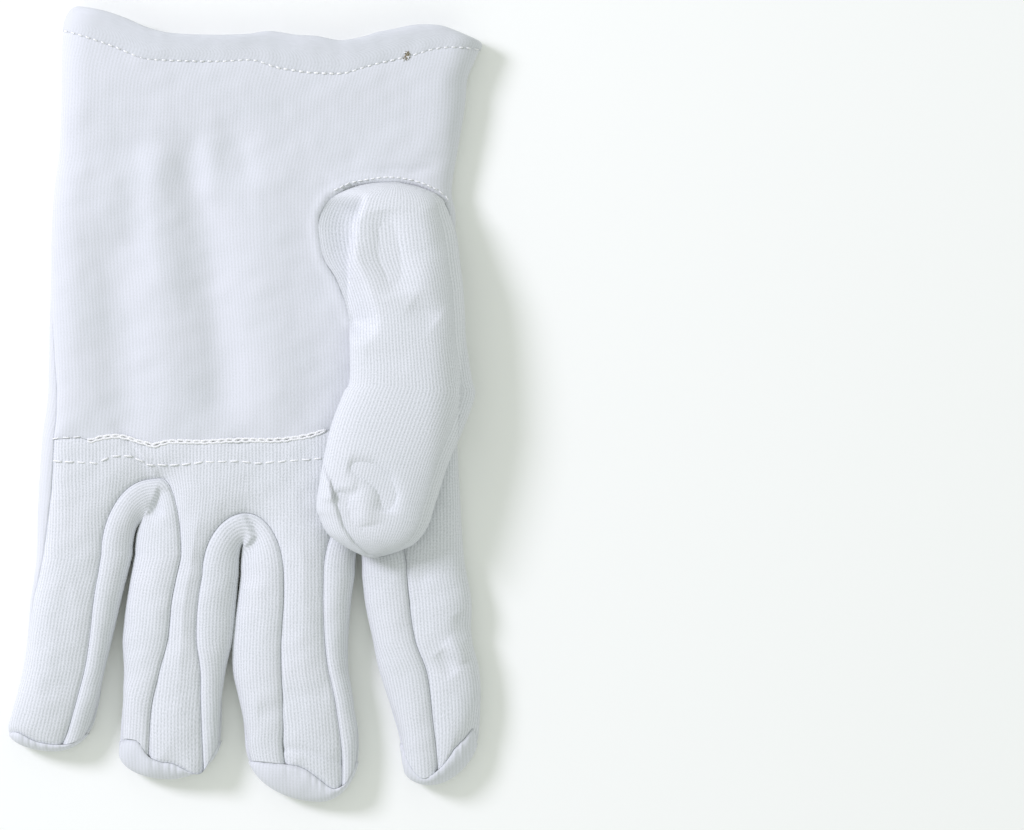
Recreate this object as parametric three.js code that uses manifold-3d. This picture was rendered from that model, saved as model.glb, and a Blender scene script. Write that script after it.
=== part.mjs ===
// Left-hand dress glove of white knitted cotton, lying on its back with the palm up
// and the thumb folded down over the palm. Millimetres, +X to the thumb side,
// +Y to the cuff, +Z up from the surface that it lies on.
import * as THREE from 'three';
import Module from 'manifold-3d';
import { mergeVertices } from 'three/addons/utils/BufferGeometryUtils.js';

const wasm = await Module();
wasm.setup();

// Driving dimensions: cloth and seams
const clothThickness = 1.2;
const seamGap = 0.3;
const fingerClearance = 0.8;

// Driving dimensions: palm and cuff, lengths from the knuckle seam
const palmLength = 106.5;
const wristWidth = 112.5;
const cuffWidth = 114.5;
const palmHeight = 9.5;
const cuffHeight = 11;
const edgeHeight = 3.8;
const sideRound = 9;
const hemDepth = 7.4;
const hemThickness = 2.2;
const hemFlare = 3.4;
const cuffRise = 8.6;

// Driving dimensions: fingers, reach from the knuckle seam to the fingertip
const fingerHeight = 10.5;
const tipDrop = 2.2;
const littleWidth = 24;
const ringWidth = 30.5;
const middleWidth = 32.5;
const indexWidth = 30;
const littleReach = 88.5;
const ringReach = 96.5;
const middleReach = 103;
const indexReach = 98.5;
const littleRingGap = 9.5;
const ringMiddleGap = 7.6;
const middleIndexGap = 12.4;

// Driving dimensions: thumb
const thumbLength = 103;
const thumbWidth = 34;
const thumbHeight = 12.5;
const thumbTop = 70.5;
const thumbInset = 17;
const thumbHoleWidth = 22;
const thumbHoleLength = 29;
const layerClearance = 0.5;

// The four fingers, shares of the finger's width: fold is how far the back cloth curls over
// the tip, round the length over which the tip narrows
const fingers = [
  { name: 'little', width: littleWidth, reach: littleReach, fold: 0.125, round: 0.333 },
  { name: 'ring', width: ringWidth, reach: ringReach, fold: 0.131, round: 0.328 },
  { name: 'middle', width: middleWidth, reach: middleReach, fold: 0.2, round: 0.338 },
  { name: 'index', width: indexWidth, reach: indexReach, fold: 0.15, round: 0.467 },
].map((f) => ({ ...f, fold: f.fold * f.width, round: f.round * f.width }));

// The three crotches, shares of the middle finger's reach from the knuckle seam: the apex of
// the front seam, the top of the gap between the fingers, and the foot where the arch of the
// seam becomes two legs. Slide moves the apex across, as a share of the gap's spread
const crotches = [
  { gap: 'littleRing', spread: littleRingGap, apex: 0.104, top: 0.239, foot: 0.32, slide: 0.37 },
  { gap: 'ringMiddle', spread: ringMiddleGap, apex: 0.206, top: 0.296, foot: 0.376, slide: 0 },
  { gap: 'middleIndex', spread: middleIndexGap, apex: 0.184, top: 0.301, foot: 0.376, slide: 0.1 },
].map((c) => ({
  ...c,
  apex: c.apex * middleReach,
  top: c.top * middleReach,
  foot: c.foot * middleReach,
  slide: c.slide * c.spread,
}));

// Fingers from the knuckle seam (down 0) to the middle fingertip (down 1): width of each
// finger as a share of its named width, gaps of their named spread, shift of the hand width
const fingerRows = [
  { down: 0.0, shift: 0.0, little: 1.235, ring: 0.907, middle: 1.01, index: 0.915,
    littleRing: 0, ringMiddle: 0, middleIndex: 0 },
  { down: 0.17, shift: 0.0, little: 1.247, ring: 0.944, middle: 0.99, index: 0.953,
    littleRing: 0, ringMiddle: 0, middleIndex: 0 },
  { down: 0.335, shift: 0.003, little: 1.106, ring: 1.01, middle: 1.017, index: 1.0,
    littleRing: 0.0, ringMiddle: 0.0, middleIndex: 0.05 },
  { down: 0.445, shift: 0.004, little: 1.05, ring: 1.03, middle: 1.0, index: 1.02,
    littleRing: 0.13, ringMiddle: 0.0, middleIndex: 0.28 },
  { down: 0.555, shift: 0.0, little: 0.99, ring: 1.02, middle: 1.0, index: 0.934,
    littleRing: 0.32, ringMiddle: 0.02, middleIndex: 0.58 },
  { down: 0.637, shift: 0.002, little: 0.965, ring: 0.944, middle: 1.0, index: 0.934,
    littleRing: 0.57, ringMiddle: 0.28, middleIndex: 0.72 },
  { down: 0.72, shift: -0.005, little: 0.976, ring: 0.917, middle: 0.99, index: 0.858,
    littleRing: 0.72, ringMiddle: 0.66, middleIndex: 0.81 },
  { down: 0.83, shift: -0.02, little: 0.976, ring: 0.907, middle: 0.974, index: 0.708,
    littleRing: 1.0, ringMiddle: 1.0, middleIndex: 1.0 },
  { down: 1.0, shift: -0.042, little: 0.94, ring: 0.88, middle: 0.93, index: 0.55,
    littleRing: 1.3, ringMiddle: 1.3, middleIndex: 1.25 },
];

// Front seams beside each gap, inset from the finger's edge as a share of the finger's width
const seamRows = [
  { down: 0.335, littleRight: 0.318, ringLeft: 0.444, ringRight: 0.324,
    middleLeft: 0.36, middleRight: 0.287, indexLeft: 0.434 },
  { down: 0.445, littleRight: 0.294, ringLeft: 0.417, ringRight: 0.343,
    middleLeft: 0.409, middleRight: 0.243, indexLeft: 0.415 },
  { down: 0.555, littleRight: 0.259, ringLeft: 0.417, ringRight: 0.324,
    middleLeft: 0.426, middleRight: 0.2, indexLeft: 0.425 },
  { down: 0.637, littleRight: 0.247, ringLeft: 0.361, ringRight: 0.25,
    middleLeft: 0.426, middleRight: 0.175, indexLeft: 0.472 },
  { down: 0.72, littleRight: 0.282, ringLeft: 0.306, ringRight: 0.213,
    middleLeft: 0.391, middleRight: 0.16, indexLeft: 0.48 },
  { down: 0.83, littleRight: 0.32, ringLeft: 0.296, ringRight: 0.17,
    middleLeft: 0.34, middleRight: 0.15, indexLeft: 0.48 },
];

// Palm from the knuckle seam (up 0) to the hem (up 1): how far its width has gone from the
// knuckle width to the wrist's and then to the cuff's, and its shift as a share of the width
const palmRows = [
  { up: 0.0, toWrist: 0.0, toCuff: 0, shift: 0.0 },
  { up: 0.11, toWrist: 0.25, toCuff: 0, shift: 0.009 },
  { up: 0.34, toWrist: 0.3, toCuff: 0, shift: 0.014 },
  { up: 0.55, toWrist: 0.7, toCuff: 0, shift: 0.008 },
  { up: 0.66, toWrist: 1.0, toCuff: 0, shift: 0.006 },
  { up: 0.76, toWrist: 1.0, toCuff: 0.1, shift: 0.017 },
  { up: 0.87, toWrist: 1.0, toCuff: 0.45, shift: 0.029 },
  { up: 1.0, toWrist: 1.0, toCuff: 1.0, shift: 0.034 },
];

// Side seams: degrees round the rounded edge, 0 at its widest, 90 at the top, by share of
// the way from the hem (0) to the fingertip (1)
const sideSeamRows = [
  { along: 0.0, left: -10, right: -10 },
  { along: 0.3, left: 0, right: -15 },
  { along: 0.48, left: 40, right: -15 },
  { along: 0.62, left: 50, right: -15 },
  { along: 0.72, left: 30, right: -15 },
  { along: 0.85, left: 0, right: -10 },
  { along: 1.0, left: 0, right: 0 },
];

// Wave of the hem: across runs from -1 at the left edge to 1 at the right, rise is a share
// of the named rise
const cuffRows = [
  { across: -1.0, rise: 1.0 }, { across: -0.7, rise: 0.46 }, { across: -0.5, rise: 0.07 },
  { across: -0.25, rise: 0.0 }, { across: 0.0, rise: 0.0 }, { across: 0.2, rise: -0.28 },
  { across: 0.36, rise: -0.37 }, { across: 0.5, rise: -0.27 }, { across: 0.65, rise: -0.05 },
  { across: 0.82, rise: 0.2 }, { across: 1.0, rise: 0.3 },
];

// Outline of the hem from its stitching (up 0) to the cuff's edge (up 1): how far each side
// stands out, as a share of the hem's flare
const hemRows = [
  { up: 0.0, left: 0.0, right: 0.3 }, { up: 0.35, left: -0.1, right: 1.0 },
  { up: 0.65, left: -0.35, right: 0.9 }, { up: 1.0, left: -0.9, right: 0.2 },
];

// Soft folds and dents of the palm: each runs from one place to another, across as a share
// of half the hand's width, along and spread of the palm's length, rise of its height
const palmFolds = [
  { across: [-0.26, -0.36], along: [0.81, 0.62], spread: 0.066, rise: -0.126 },
  { across: [-0.36, -0.24], along: [0.62, 0.23], spread: 0.066, rise: -0.105 },
  { across: [-0.2, -0.2], along: [0.72, 0.6], spread: 0.042, rise: 0.084 },
  { across: [-0.53, -0.47], along: [0.62, 0.53], spread: 0.047, rise: 0.074 },
  { across: [-0.8, -0.62], along: [0.79, 0.76], spread: 0.056, rise: -0.063 },
  { across: [0.6, 0.9], along: [0.71, 0.71], spread: 0.028, rise: -0.053 },
  { across: [-0.6, -0.46], along: [0.0, -0.09], spread: 0.033, rise: -0.095 },
  { across: [0.1, 0.2], along: [0.55, 0.3], spread: 0.085, rise: 0.053 },
];

// Thumb from its base (at 0) to its tip (at 1): shares of the thumb's width and height, and
// the sideways shift of its middle as a share of its width
const thumbRows = [
  { at: 0.0, width: 0.3, height: 0.3, shift: -0.1 },
  { at: 0.03, width: 0.84, height: 0.5, shift: -0.11 },
  { at: 0.09, width: 1.1, height: 0.74, shift: -0.1 },
  { at: 0.17, width: 1.14, height: 0.88, shift: -0.07 },
  { at: 0.28, width: 1.03, height: 0.95, shift: 0.01 },
  { at: 0.39, width: 0.98, height: 1.0, shift: 0.065 },
  { at: 0.57, width: 1.08, height: 1.0, shift: 0.075 },
  { at: 0.69, width: 1.08, height: 1.0, shift: -0.05 },
  { at: 0.8, width: 1.02, height: 0.98, shift: -0.16 },
  { at: 0.88, width: 0.96, height: 0.92, shift: -0.2 },
  { at: 0.95, width: 0.78, height: 0.8, shift: -0.195 },
  { at: 1.0, width: 0.3, height: 0.5, shift: -0.16 },
];

// Roundness of the shapes. A tip's squareness is the power of its rounding in plan, and the
// thumb's powers give its section above and below; drops and dips are shares of heights
const shape = {
  tipSquareness: 2.2, tipEdge: 0.7, crotchDip: 0.115, crotchStretch: 1.3,
  cuffStart: 0.7, fingerStart: 0.1, fingerEnd: 0.5, foldAtCuff: 0.4,
  sideAtTip: 0.6, sideByTip: 0.3, seamTurn: 0.15,
  thumbEdge: 0.38, thumbAcross: 0.85, thumbAbove: 0.85, thumbBelow: 0.6, thumbEndInset: 1.3,
  holeAcross: 0.15, holeAlong: 0.68, plugDepth: 1.5,
};

// Fineness of the faceted cloth
const fineness = {
  palmRows: 15, backRows: 10, knuckleRows: 2, archRows: 4, legRows: 8,
  strip: [6, 3, 4, 7], backStrip: [7, 5, 6, 8], round: 6, tipRows: 5, hemRows: 3,
  thumbRound: 20, thumbRows: 18, thumbEnds: 0.14, holeSides: 24, hemTop: 16, hemUnder: 12,
};

const degree = Math.PI / 180;
const { lerp, clamp, smoothstep } = THREE.MathUtils;
const middleOf = (a, b) => (a + b) / 2;

// Value of a table's column at a place, on a smooth curve through its rows
function read(rows, place, column, at) {
  const last = rows.length - 1;
  const t = clamp(at, rows[0][place], rows[last][place]);
  let i = 0;
  while (i < last - 1 && t > rows[i + 1][place]) i += 1;
  const slope = (j) => {
    const before = rows[Math.max(j - 1, 0)];
    const after = rows[Math.min(j + 1, last)];
    return (after[column] - before[column]) / (after[place] - before[place]);
  };
  const span = rows[i + 1][place] - rows[i][place];
  const s = (t - rows[i][place]) / span;
  const hump = s * (1 - s);
  return lerp(rows[i][column], rows[i + 1][column], s * s * (3 - 2 * s))
    + span * hump * (slope(i) * (1 - s) - slope(i + 1) * s);
}

// Left and right edge of every finger at a height y, before its tip is rounded
function handEdges(y) {
  const down = -y / middleReach;
  const widths = fingers.map((f) => f.width * read(fingerRows, 'down', f.name, down));
  const gaps = crotches.map((c) => c.spread * read(fingerRows, 'down', c.gap, down));
  const total = [...widths, ...gaps].reduce((sum, w) => sum + w, 0);
  let x = read(fingerRows, 'down', 'shift', down) * total - total / 2;
  return fingers.map((f, i) => {
    const left = x + (i > 0 ? fingerClearance / 2 : 0);
    const right = x + widths[i] - (i < 3 ? fingerClearance / 2 : 0);
    x += widths[i] + (gaps[i] || 0);
    return { left, right };
  });
}

const knuckles = handEdges(0);
const handWidth = knuckles[3].right - knuckles[0].left;

// Edges of one finger at y, rounded in to the tip
function fingerEdges(i, y) {
  const { reach, round } = fingers[i];
  const raw = handEdges(y)[i];
  const near = clamp((y + reach) / round, 0, 1);
  const share = Math.sqrt(1 - (1 - near) ** shape.tipSquareness);
  const middle = middleOf(raw.left, raw.right);
  const half = (raw.right - raw.left) / 2 * share;
  return { left: middle - half, right: middle + half, middle, half };
}

// Left and right edge of the palm at y, from the knuckle seam to the cuff's edge
function palmEdges(y) {
  const up = clamp(y / palmLength, 0, 1);
  const toWrist = read(palmRows, 'up', 'toWrist', up);
  const toCuff = read(palmRows, 'up', 'toCuff', up);
  const width = lerp(lerp(handWidth, wristWidth, toWrist), cuffWidth, toCuff);
  const middle = read(palmRows, 'up', 'shift', up) * width;
  const hem = clamp((y - palmLength) / hemDepth, 0, 1);
  const flare = y > palmLength ? hemFlare : 0;
  return {
    left: middle - width / 2 - flare * read(hemRows, 'up', 'left', hem),
    right: middle + width / 2 + flare * read(hemRows, 'up', 'right', hem),
  };
}

function handSide(y) {
  if (y >= 0) return palmEdges(y);
  const edges = handEdges(y);
  return { left: edges[0].left, right: edges[3].right };
}

// Height of the soft folds over a place on the palm
function foldHeight(x, y) {
  let height = 0;
  for (const { across, along, spread, rise } of palmFolds) {
    const [x0, x1] = across.map((share) => share * handWidth / 2);
    const [y0, y1] = along.map((share) => share * palmLength);
    const length = Math.hypot(x1 - x0, y1 - y0);
    const t = clamp(((x - x0) * (x1 - x0) + (y - y0) * (y1 - y0)) / length ** 2, 0, 1);
    const away = Math.hypot(x - lerp(x0, x1, t), y - lerp(y0, y1, t));
    height += rise * palmHeight * Math.exp(-((away / (spread * palmLength)) ** 2));
  }
  return height;
}

// Height of the cloth's upper side, away from the rounded sides
function topHeight(x, y, finger = -1) {
  const toCuff = smoothstep(y, palmLength * shape.cuffStart, palmLength);
  const toFinger = smoothstep(
    -y, middleReach * shape.fingerStart, middleReach * shape.fingerEnd);
  let height = lerp(lerp(palmHeight, fingerHeight, toFinger), cuffHeight, toCuff);
  height += foldHeight(x, y) * lerp(1, shape.foldAtCuff, toCuff);
  for (const crotch of crotches) {
    const along = (y + crotch.apex) * shape.crotchStretch;
    const away = Math.hypot(x - crotch.apexX, along) / sideRound;
    height -= shape.crotchDip * palmHeight * Math.exp(-(away ** 2));
  }
  if (finger >= 0) {
    const { reach, round } = fingers[finger];
    height -= tipDrop * (1 - smoothstep(y + reach, 0, 2 * round));
  }
  return height;
}

// One place on the rounded edge of the cloth. The rim holds the widest place, the way in
// from it, how far in the rounding reaches and the height of its top; the angle goes from
// -90 underneath, by 0 at the rim, to 90 on top
function edgePoint(rim, angle, depth) {
  const a = angle * degree;
  const reach = (angle > 0 ? rim.reach : edgeHeight) - depth;
  const rise = (angle > 0 ? rim.top - edgeHeight : edgeHeight) - depth;
  const inward = depth + reach * (1 - Math.cos(a));
  return new THREE.Vector3(
    rim.x + rim.way[0] * inward, rim.y + rim.way[1] * inward, edgeHeight + rise * Math.sin(a));
}

// Angle that half a seam gap takes at a place on the rounded edge
function gapAngle(rim, angle) {
  const a = angle * degree;
  const reach = angle > 0 ? rim.reach : edgeHeight;
  const rise = angle > 0 ? rim.top - edgeHeight : edgeHeight;
  return seamGap / 2 / Math.hypot(reach * Math.sin(a), rise * Math.cos(a)) / degree;
}

const pair = (outer, inner) => ({ outer, inner });
const edgePair = (rim, angle) => pair(
  edgePoint(rim, angle, 0), edgePoint(rim, angle, clothThickness));

function flatPair(x, y, z, down = 1) {
  return pair(new THREE.Vector3(x, y, z), new THREE.Vector3(x, y, z - down * clothThickness));
}

const steps = (count) => Array.from({ length: count + 1 }, (_, i) => i / count);

// A line of cloth cut into even lengths
function evenLine(line, count) {
  const lengths = [0];
  for (let i = 1; i < line.length; i += 1) {
    lengths.push(lengths[i - 1] + line[i].outer.distanceTo(line[i - 1].outer));
  }
  const total = lengths[lengths.length - 1];
  return steps(count).map((share) => {
    let i = 1;
    while (i < lengths.length - 1 && lengths[i] < share * total) i += 1;
    const t = (share * total - lengths[i - 1]) / (lengths[i] - lengths[i - 1]);
    return pair(
      line[i - 1].outer.clone().lerp(line[i].outer, t),
      line[i - 1].inner.clone().lerp(line[i].inner, t));
  });
}

// Seam inset of a finger beside a gap
function seamInset(i, side, y) {
  const { left, right } = fingerEdges(i, y);
  return (right - left) * read(seamRows, 'down', fingers[i].name + side, -y / middleReach);
}

for (const [i, crotch] of crotches.entries()) {
  const at = (y) => middleOf(handEdges(y)[i].right, handEdges(y)[i + 1].left);
  crotch.apexX = at(-crotch.apex) + crotch.slide;
  crotch.topX = at(-crotch.top);
}

const tipSeam = (i) => fingers[i].fold - fingers[i].reach;

// Rim of the gap beside finger i. Station turn 0..1 rounds the arch of the crotch and
// station leg 0..1 goes down the finger to its tip seam
function gapRim(i, side, { turn = 1, leg = 0 }) {
  const crotch = crotches[side === 'Right' ? i : i - 1];
  const key = side.toLowerCase();
  const inward = side === 'Right' ? -1 : 1;
  if (leg > 0 || turn >= 1) {
    const y = lerp(-crotch.foot, tipSeam(i), leg);
    const x = fingerEdges(i, y)[key];
    return {
      x, y, way: [inward, 0], reach: seamInset(i, side, y),
      top: topHeight(x + inward * seamInset(i, side, y), y, i),
    };
  }
  const swing = Math.sin(turn * 90 * degree);
  const climb = Math.cos(turn * 90 * degree);
  const footX = fingerEdges(i, -crotch.foot)[key];
  const seamX = footX + inward * seamInset(i, side, -crotch.foot);
  const seam = [lerp(crotch.apexX, seamX, swing), lerp(-crotch.foot, -crotch.apex, climb)];
  const x = lerp(crotch.topX, footX, swing);
  const y = lerp(-crotch.foot, -crotch.top, climb);
  const reach = Math.hypot(seam[0] - x, seam[1] - y);
  return {
    x, y, way: [(seam[0] - x) / reach, (seam[1] - y) / reach], reach,
    top: topHeight(...seam, i),
  };
}

// Rim of the outer side of the hand, at the little or the index finger
function sideRim(y, side) {
  const key = side.toLowerCase();
  const finger = side === 'Left' ? 0 : 3;
  const x = y < -crotches[0].foot ? fingerEdges(finger, y)[key] : handSide(y)[key];
  const inward = side === 'Left' ? 1 : -1;
  const tip = fingers[finger].reach + y;
  const reach = Math.min(sideRound, sideRound * shape.sideAtTip + tip * shape.sideByTip);
  const end = y < -crotches[0].foot ? finger : -1;
  return { x, y, way: [inward, 0], reach, top: topHeight(x + inward * reach, y, end) };
}

function sideSeamAngle(y, side) {
  const reach = side === 'Left' ? littleReach : indexReach;
  const along = (palmLength - y) / (palmLength + reach);
  return read(sideSeamRows, 'along', side.toLowerCase(), along);
}

const roundAngles = (from, to) => steps(fineness.round).map((s) => lerp(from, to, s));

// Front cloth across finger i between two ends of a row
function frontLine(i, left, right, count) {
  const line = [];
  if (i === 0) {
    const from = sideSeamAngle(left.y, 'Left');
    line.push(...roundAngles(from + gapAngle(left, from), 90).map((a) => edgePair(left, a)));
  }
  const start = i === 0 ? [left.x + left.reach, left.y] : [left.x, left.y];
  const end = i === 3 ? [right.x - right.reach, right.y] : [right.x, right.y];
  for (const s of steps(6).slice(i === 0 ? 1 : 0, i === 3 ? 6 : 7)) {
    const x = lerp(start[0], end[0], s);
    const y = lerp(start[1], end[1], s);
    line.push(flatPair(x, y, topHeight(x, y, left.finger ?? -1)));
  }
  if (i === 3) {
    const to = sideSeamAngle(right.y, 'Right');
    line.push(...roundAngles(90, to + gapAngle(right, to)).map((a) => edgePair(right, a)));
  }
  return evenLine(line, count);
}

// Back cloth across finger i, flat where it lies on the surface
function backLine(left, right, leftAngle, rightAngle, count) {
  const line = [];
  if (leftAngle !== null) {
    line.push(...roundAngles(leftAngle - gapAngle(left, leftAngle), -90)
      .map((a) => edgePair(left, a)));
  } else line.push(flatPair(left.x, left.y, 0, -1));
  if (rightAngle !== null) {
    line.push(...roundAngles(-90, rightAngle - gapAngle(right, rightAngle))
      .map((a) => edgePair(right, a)));
  } else line.push(flatPair(right.x, right.y, 0, -1));
  return evenLine(line, count);
}

// A closed body of cloth from rows of paired places on its outer and inner side
class Cloth {
  constructor() {
    this.places = [];
    this.index = new Map();
    this.faces = [];
  }

  place(p) {
    const key = p.outer.toArray().map((v) => v.toFixed(3)).join();
    if (!this.index.has(key)) {
      this.index.set(key, this.places.length);
      this.places.push(p);
    }
    return this.index.get(key);
  }

  face(...corners) {
    const ids = corners.map((p) => this.place(p));
    if (new Set(ids).size === 3) this.faces.push(ids);
  }

  rows(rows) {
    for (let r = 1; r < rows.length; r += 1) {
      for (let c = 1; c < rows[r].length; c += 1) {
        this.face(rows[r - 1][c - 1], rows[r][c - 1], rows[r][c]);
        this.face(rows[r - 1][c - 1], rows[r][c], rows[r - 1][c]);
      }
    }
  }

  // Faces between two rows that hold different numbers of places
  join(upper, lower) {
    let [u, l] = [0, 0];
    while (u < upper.length - 1 || l < lower.length - 1) {
      const upperNext = (u + 1) / (upper.length - 1);
      const lowerNext = (l + 1) / (lower.length - 1);
      if (l === lower.length - 1 || (u < upper.length - 1 && upperNext <= lowerNext)) {
        this.face(upper[u], lower[l], upper[u + 1]);
        u += 1;
      } else {
        this.face(upper[u], lower[l], lower[l + 1]);
        l += 1;
      }
    }
  }

  geometry() {
    const count = this.places.length;
    const positions = [...this.places.map((p) => p.outer), ...this.places.map((p) => p.inner)];
    const edges = new Set(this.faces.flatMap(([a, b, c]) => [`${a},${b}`, `${b},${c}`, `${c},${a}`]));
    const index = [];
    for (const [a, b, c] of this.faces) {
      index.push(a, b, c, a + count, c + count, b + count);
    }
    for (const edge of edges) {
      const [a, b] = edge.split(',').map(Number);
      if (!edges.has(`${b},${a}`)) index.push(b, a, a + count, b, a + count, b + count);
    }
    const geometry = new THREE.BufferGeometry();
    geometry.setAttribute('position', new THREE.Float32BufferAttribute(
      positions.flatMap((p) => p.toArray()), 3));
    geometry.setIndex(index);
    return geometry;
  }
}

// The hem's wave bends everything near the cuff up or down along Y
function waveCuff(geometry) {
  const position = geometry.getAttribute('position');
  for (let i = 0; i < position.count; i += 1) {
    const y = position.getY(i);
    const { left, right } = palmEdges(Math.max(y, 0));
    const across = (position.getX(i) - middleOf(left, right)) / ((right - left) / 2);
    const share = smoothstep(y, palmLength * 0.72, palmLength);
    position.setY(i, y + share * cuffRise * read(cuffRows, 'across', 'rise', across));
  }
  return geometry;
}

// Stations down the hand
const palmStations = (count) => steps(count).map((s) => lerp(palmLength, 0, s));
const knuckleStations = steps(fineness.knuckleRows);
const archStations = steps(fineness.archRows).map((turn) => ({ turn }));
const legStations = steps(fineness.legRows).map((leg) => ({ leg }));
const fingerStations = [...archStations, ...legStations.slice(1)];

// Places that split the palm into finger widths, straight above the gaps
const splitX = (i) => middleOf(knuckles[i].right, knuckles[i + 1].left);

function palmSplit(i, y) {
  const { left, right } = palmEdges(y);
  const share = (splitX(i) - knuckles[0].left) / handWidth;
  return lerp(left, right, share);
}

// Rows of a panel over the palm, from y to y; cloth is frontLine or the back's
function palmLines(heights, line) {
  return heights.map((y) => {
    const splits = [0, 1, 2].map((i) => ({ x: palmSplit(i, y), y }));
    const ends = [sideRim(y, 'Left'), ...splits, sideRim(y, 'Right')];
    return joinGroups(fingers.map((_, i) => line(i, ends[i], ends[i + 1])));
  });
}

const joinGroups = (groups) => groups.flatMap((group, i) => (i ? group.slice(1) : group));

const frontCount = (i) => fineness.strip[i];
const frontAcross = (i, left, right) => frontLine(i, left, right, frontCount(i));
const backAcross = (i, left, right) => backLine(
  left, right,
  i === 0 ? sideSeamAngle(left.y, 'Left') : null,
  i === 3 ? sideSeamAngle(right.y, 'Right') : null, fineness.backStrip[i]);

// Seam end of finger i in plan at a station, moved out of the gap by some clearance
function seamEnd(i, side, station, clearance) {
  const rim = gapRim(i, side, station);
  const reach = rim.reach + clearance;
  return { x: rim.x + rim.way[0] * reach, y: rim.y + rim.way[1] * reach, finger: i };
}

// Ends of a front row over finger i
function frontEnds(i, station) {
  const left = i > 0 ? seamEnd(i, 'Left', station, seamGap / 2) : null;
  const right = i < 3 ? seamEnd(i, 'Right', station, seamGap / 2) : null;
  return [
    left || { ...sideRim(right.y, 'Left'), finger: 0 },
    right || { ...sideRim(left.y, 'Right'), finger: 3 },
  ];
}

// Angle of the back seam on a finger's gap side: underneath at the crotch, at the widest
// place of the side at the tip seam
const backSeamAngle = ({ leg = 0 }) => lerp(-90, 0, smoothstep(leg, shape.seamTurn, 1));

// Ends of a back row over finger i, with the seam angle where the cloth turns up
function backEnds(i, station) {
  const rimAt = (side) => {
    const rim = gapRim(i, side, station);
    const angle = backSeamAngle(station);
    if (angle > -90) return { ...rim, angle };
    const inward = edgeHeight + seamGap / 2;
    return { x: rim.x + rim.way[0] * inward, y: rim.y + rim.way[1] * inward, angle: null };
  };
  const left = i > 0 ? rimAt('Left') : null;
  const right = i < 3 ? rimAt('Right') : null;
  const side = (y, name) => ({ ...sideRim(y, name), angle: sideSeamAngle(y, name) });
  return [left || side(right.y, 'Left'), right || side(left.y, 'Right')];
}

// Rows between the knuckle seam and the crotches, over finger i
function knuckleLines(i, endsAt, line, clearance = 0) {
  const [left, right] = endsAt(i, archStations[0]);
  return knuckleStations.map((s) => {
    const from = (x) => ({ x, y: -clearance });
    const mix = (a, b) => ({ x: lerp(a.x, b.x, s), y: lerp(a.y, b.y, s) });
    const a = i > 0 ? mix(from(palmSplit(i - 1, 0)), left) : null;
    const b = i < 3 ? mix(from(palmSplit(i, 0)), right) : null;
    return line(i, a || sideRim(b.y, 'Left'), b || sideRim(a.y, 'Right'));
  });
}

// Palm panel with the hole that the thumb is sewn into
function palmCloth() {
  const cloth = new Cloth();
  const heights = palmStations(fineness.palmRows)
    .map((y) => clamp(y, seamGap / 2, palmLength - seamGap / 2));
  cloth.rows(palmLines(heights, frontAcross));
  return cloth.geometry();
}

function fingerFrontCloth() {
  const cloth = new Cloth();
  for (const i of fingers.keys()) {
    cloth.rows(knuckleLines(i, frontEnds, frontAcross, seamGap / 2));
    cloth.rows(fingerStations.map((station) => {
      const [left, right] = frontEnds(i, station);
      return frontLine(i, left, right, frontCount(i));
    }));
  }
  return cloth.geometry();
}

// Places round the upper half of a finger at its tip seam, from side to side
function tipLoop(i) {
  const last = { leg: 1 };
  const strip = frontLine(i, ...frontEnds(i, last), frontCount(i));
  const side = (name) => {
    const rim = gapRim(i, name, last);
    return roundAngles(0, 90).slice(0, -1).map((a) => edgePair(rim, a));
  };
  const loop = [...strip];
  if (i > 0) loop.unshift(...side('Left'));
  if (i < 3) loop.push(...side('Right').reverse());
  return loop;
}

// Back cloth that curls round fingertip i and up to the tip seam
function tipRows(i, lastBack) {
  const { reach, round } = fingers[i];
  const seamY = tipSeam(i);
  const { middle } = fingerEdges(i, seamY);
  const raw = handEdges(-reach)[i];
  const half = (raw.right - raw.left) / 2;
  const loop = tipLoop(i);
  const corners = [lastBack[0], lastBack[lastBack.length - 1]];
  const column = (p, s, deep) => {
    const across = clamp(Math.abs(p.x - middle) / half, 0, 0.999);
    const near = 1 - (1 - across ** 2) ** (1 / shape.tipSquareness);
    const tipY = Math.min(
      -reach + round * near * shape.tipEdge + deep, seamY - seamGap - clothThickness / 6);
    const a = s * Math.PI;
    const y = lerp(seamY - seamGap, tipY, Math.sin(a));
    // underneath, the cloth keeps to the round of the last row of the back
    const corner = corners[p.x < middle ? 0 : 1].outer;
    const inset = Math.abs(p.x - corner.x) + clothThickness / 24 - deep;
    const low = (edgeHeight - deep) * Math.sqrt(1 - clamp(1 - inset / edgeHeight, 0, 1) ** 2);
    const rise = Math.cos(a) > 0 ? p.z - edgeHeight : low;
    return new THREE.Vector3(p.x, y, edgeHeight + rise * Math.cos(a));
  };
  return steps(fineness.tipRows).map((s) => loop.map((p, c) => {
    if (c === 0) return corners[0];
    if (c === loop.length - 1) return corners[1];
    return pair(column(p.outer, s, 0), column(p.inner, s, clothThickness));
  }));
}

function backCloth() {
  const cloth = new Cloth();
  const heights = palmStations(fineness.backRows)
    .map((y) => Math.min(y, palmLength - seamGap / 2));
  cloth.rows(palmLines(heights, backAcross).map((row) => row.reverse()));
  for (const i of fingers.keys()) {
    const rows = knuckleLines(i, backEnds, backAcross);
    const fingerRowsHere = fingerStations.map((station) => {
      const [left, right] = backEnds(i, station);
      return backLine(left, right, left.angle, right.angle, fineness.backStrip[i]);
    });
    const all = [...rows, ...fingerRowsHere.slice(1)];
    const tip = tipRows(i, all[all.length - 1]);
    cloth.rows(all.map((row) => [...row].reverse()));
    cloth.rows(tip.map((row) => [...row]));
    cloth.join(tip[tip.length - 1], all[all.length - 1]);
  }
  return cloth.geometry();
}

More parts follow.
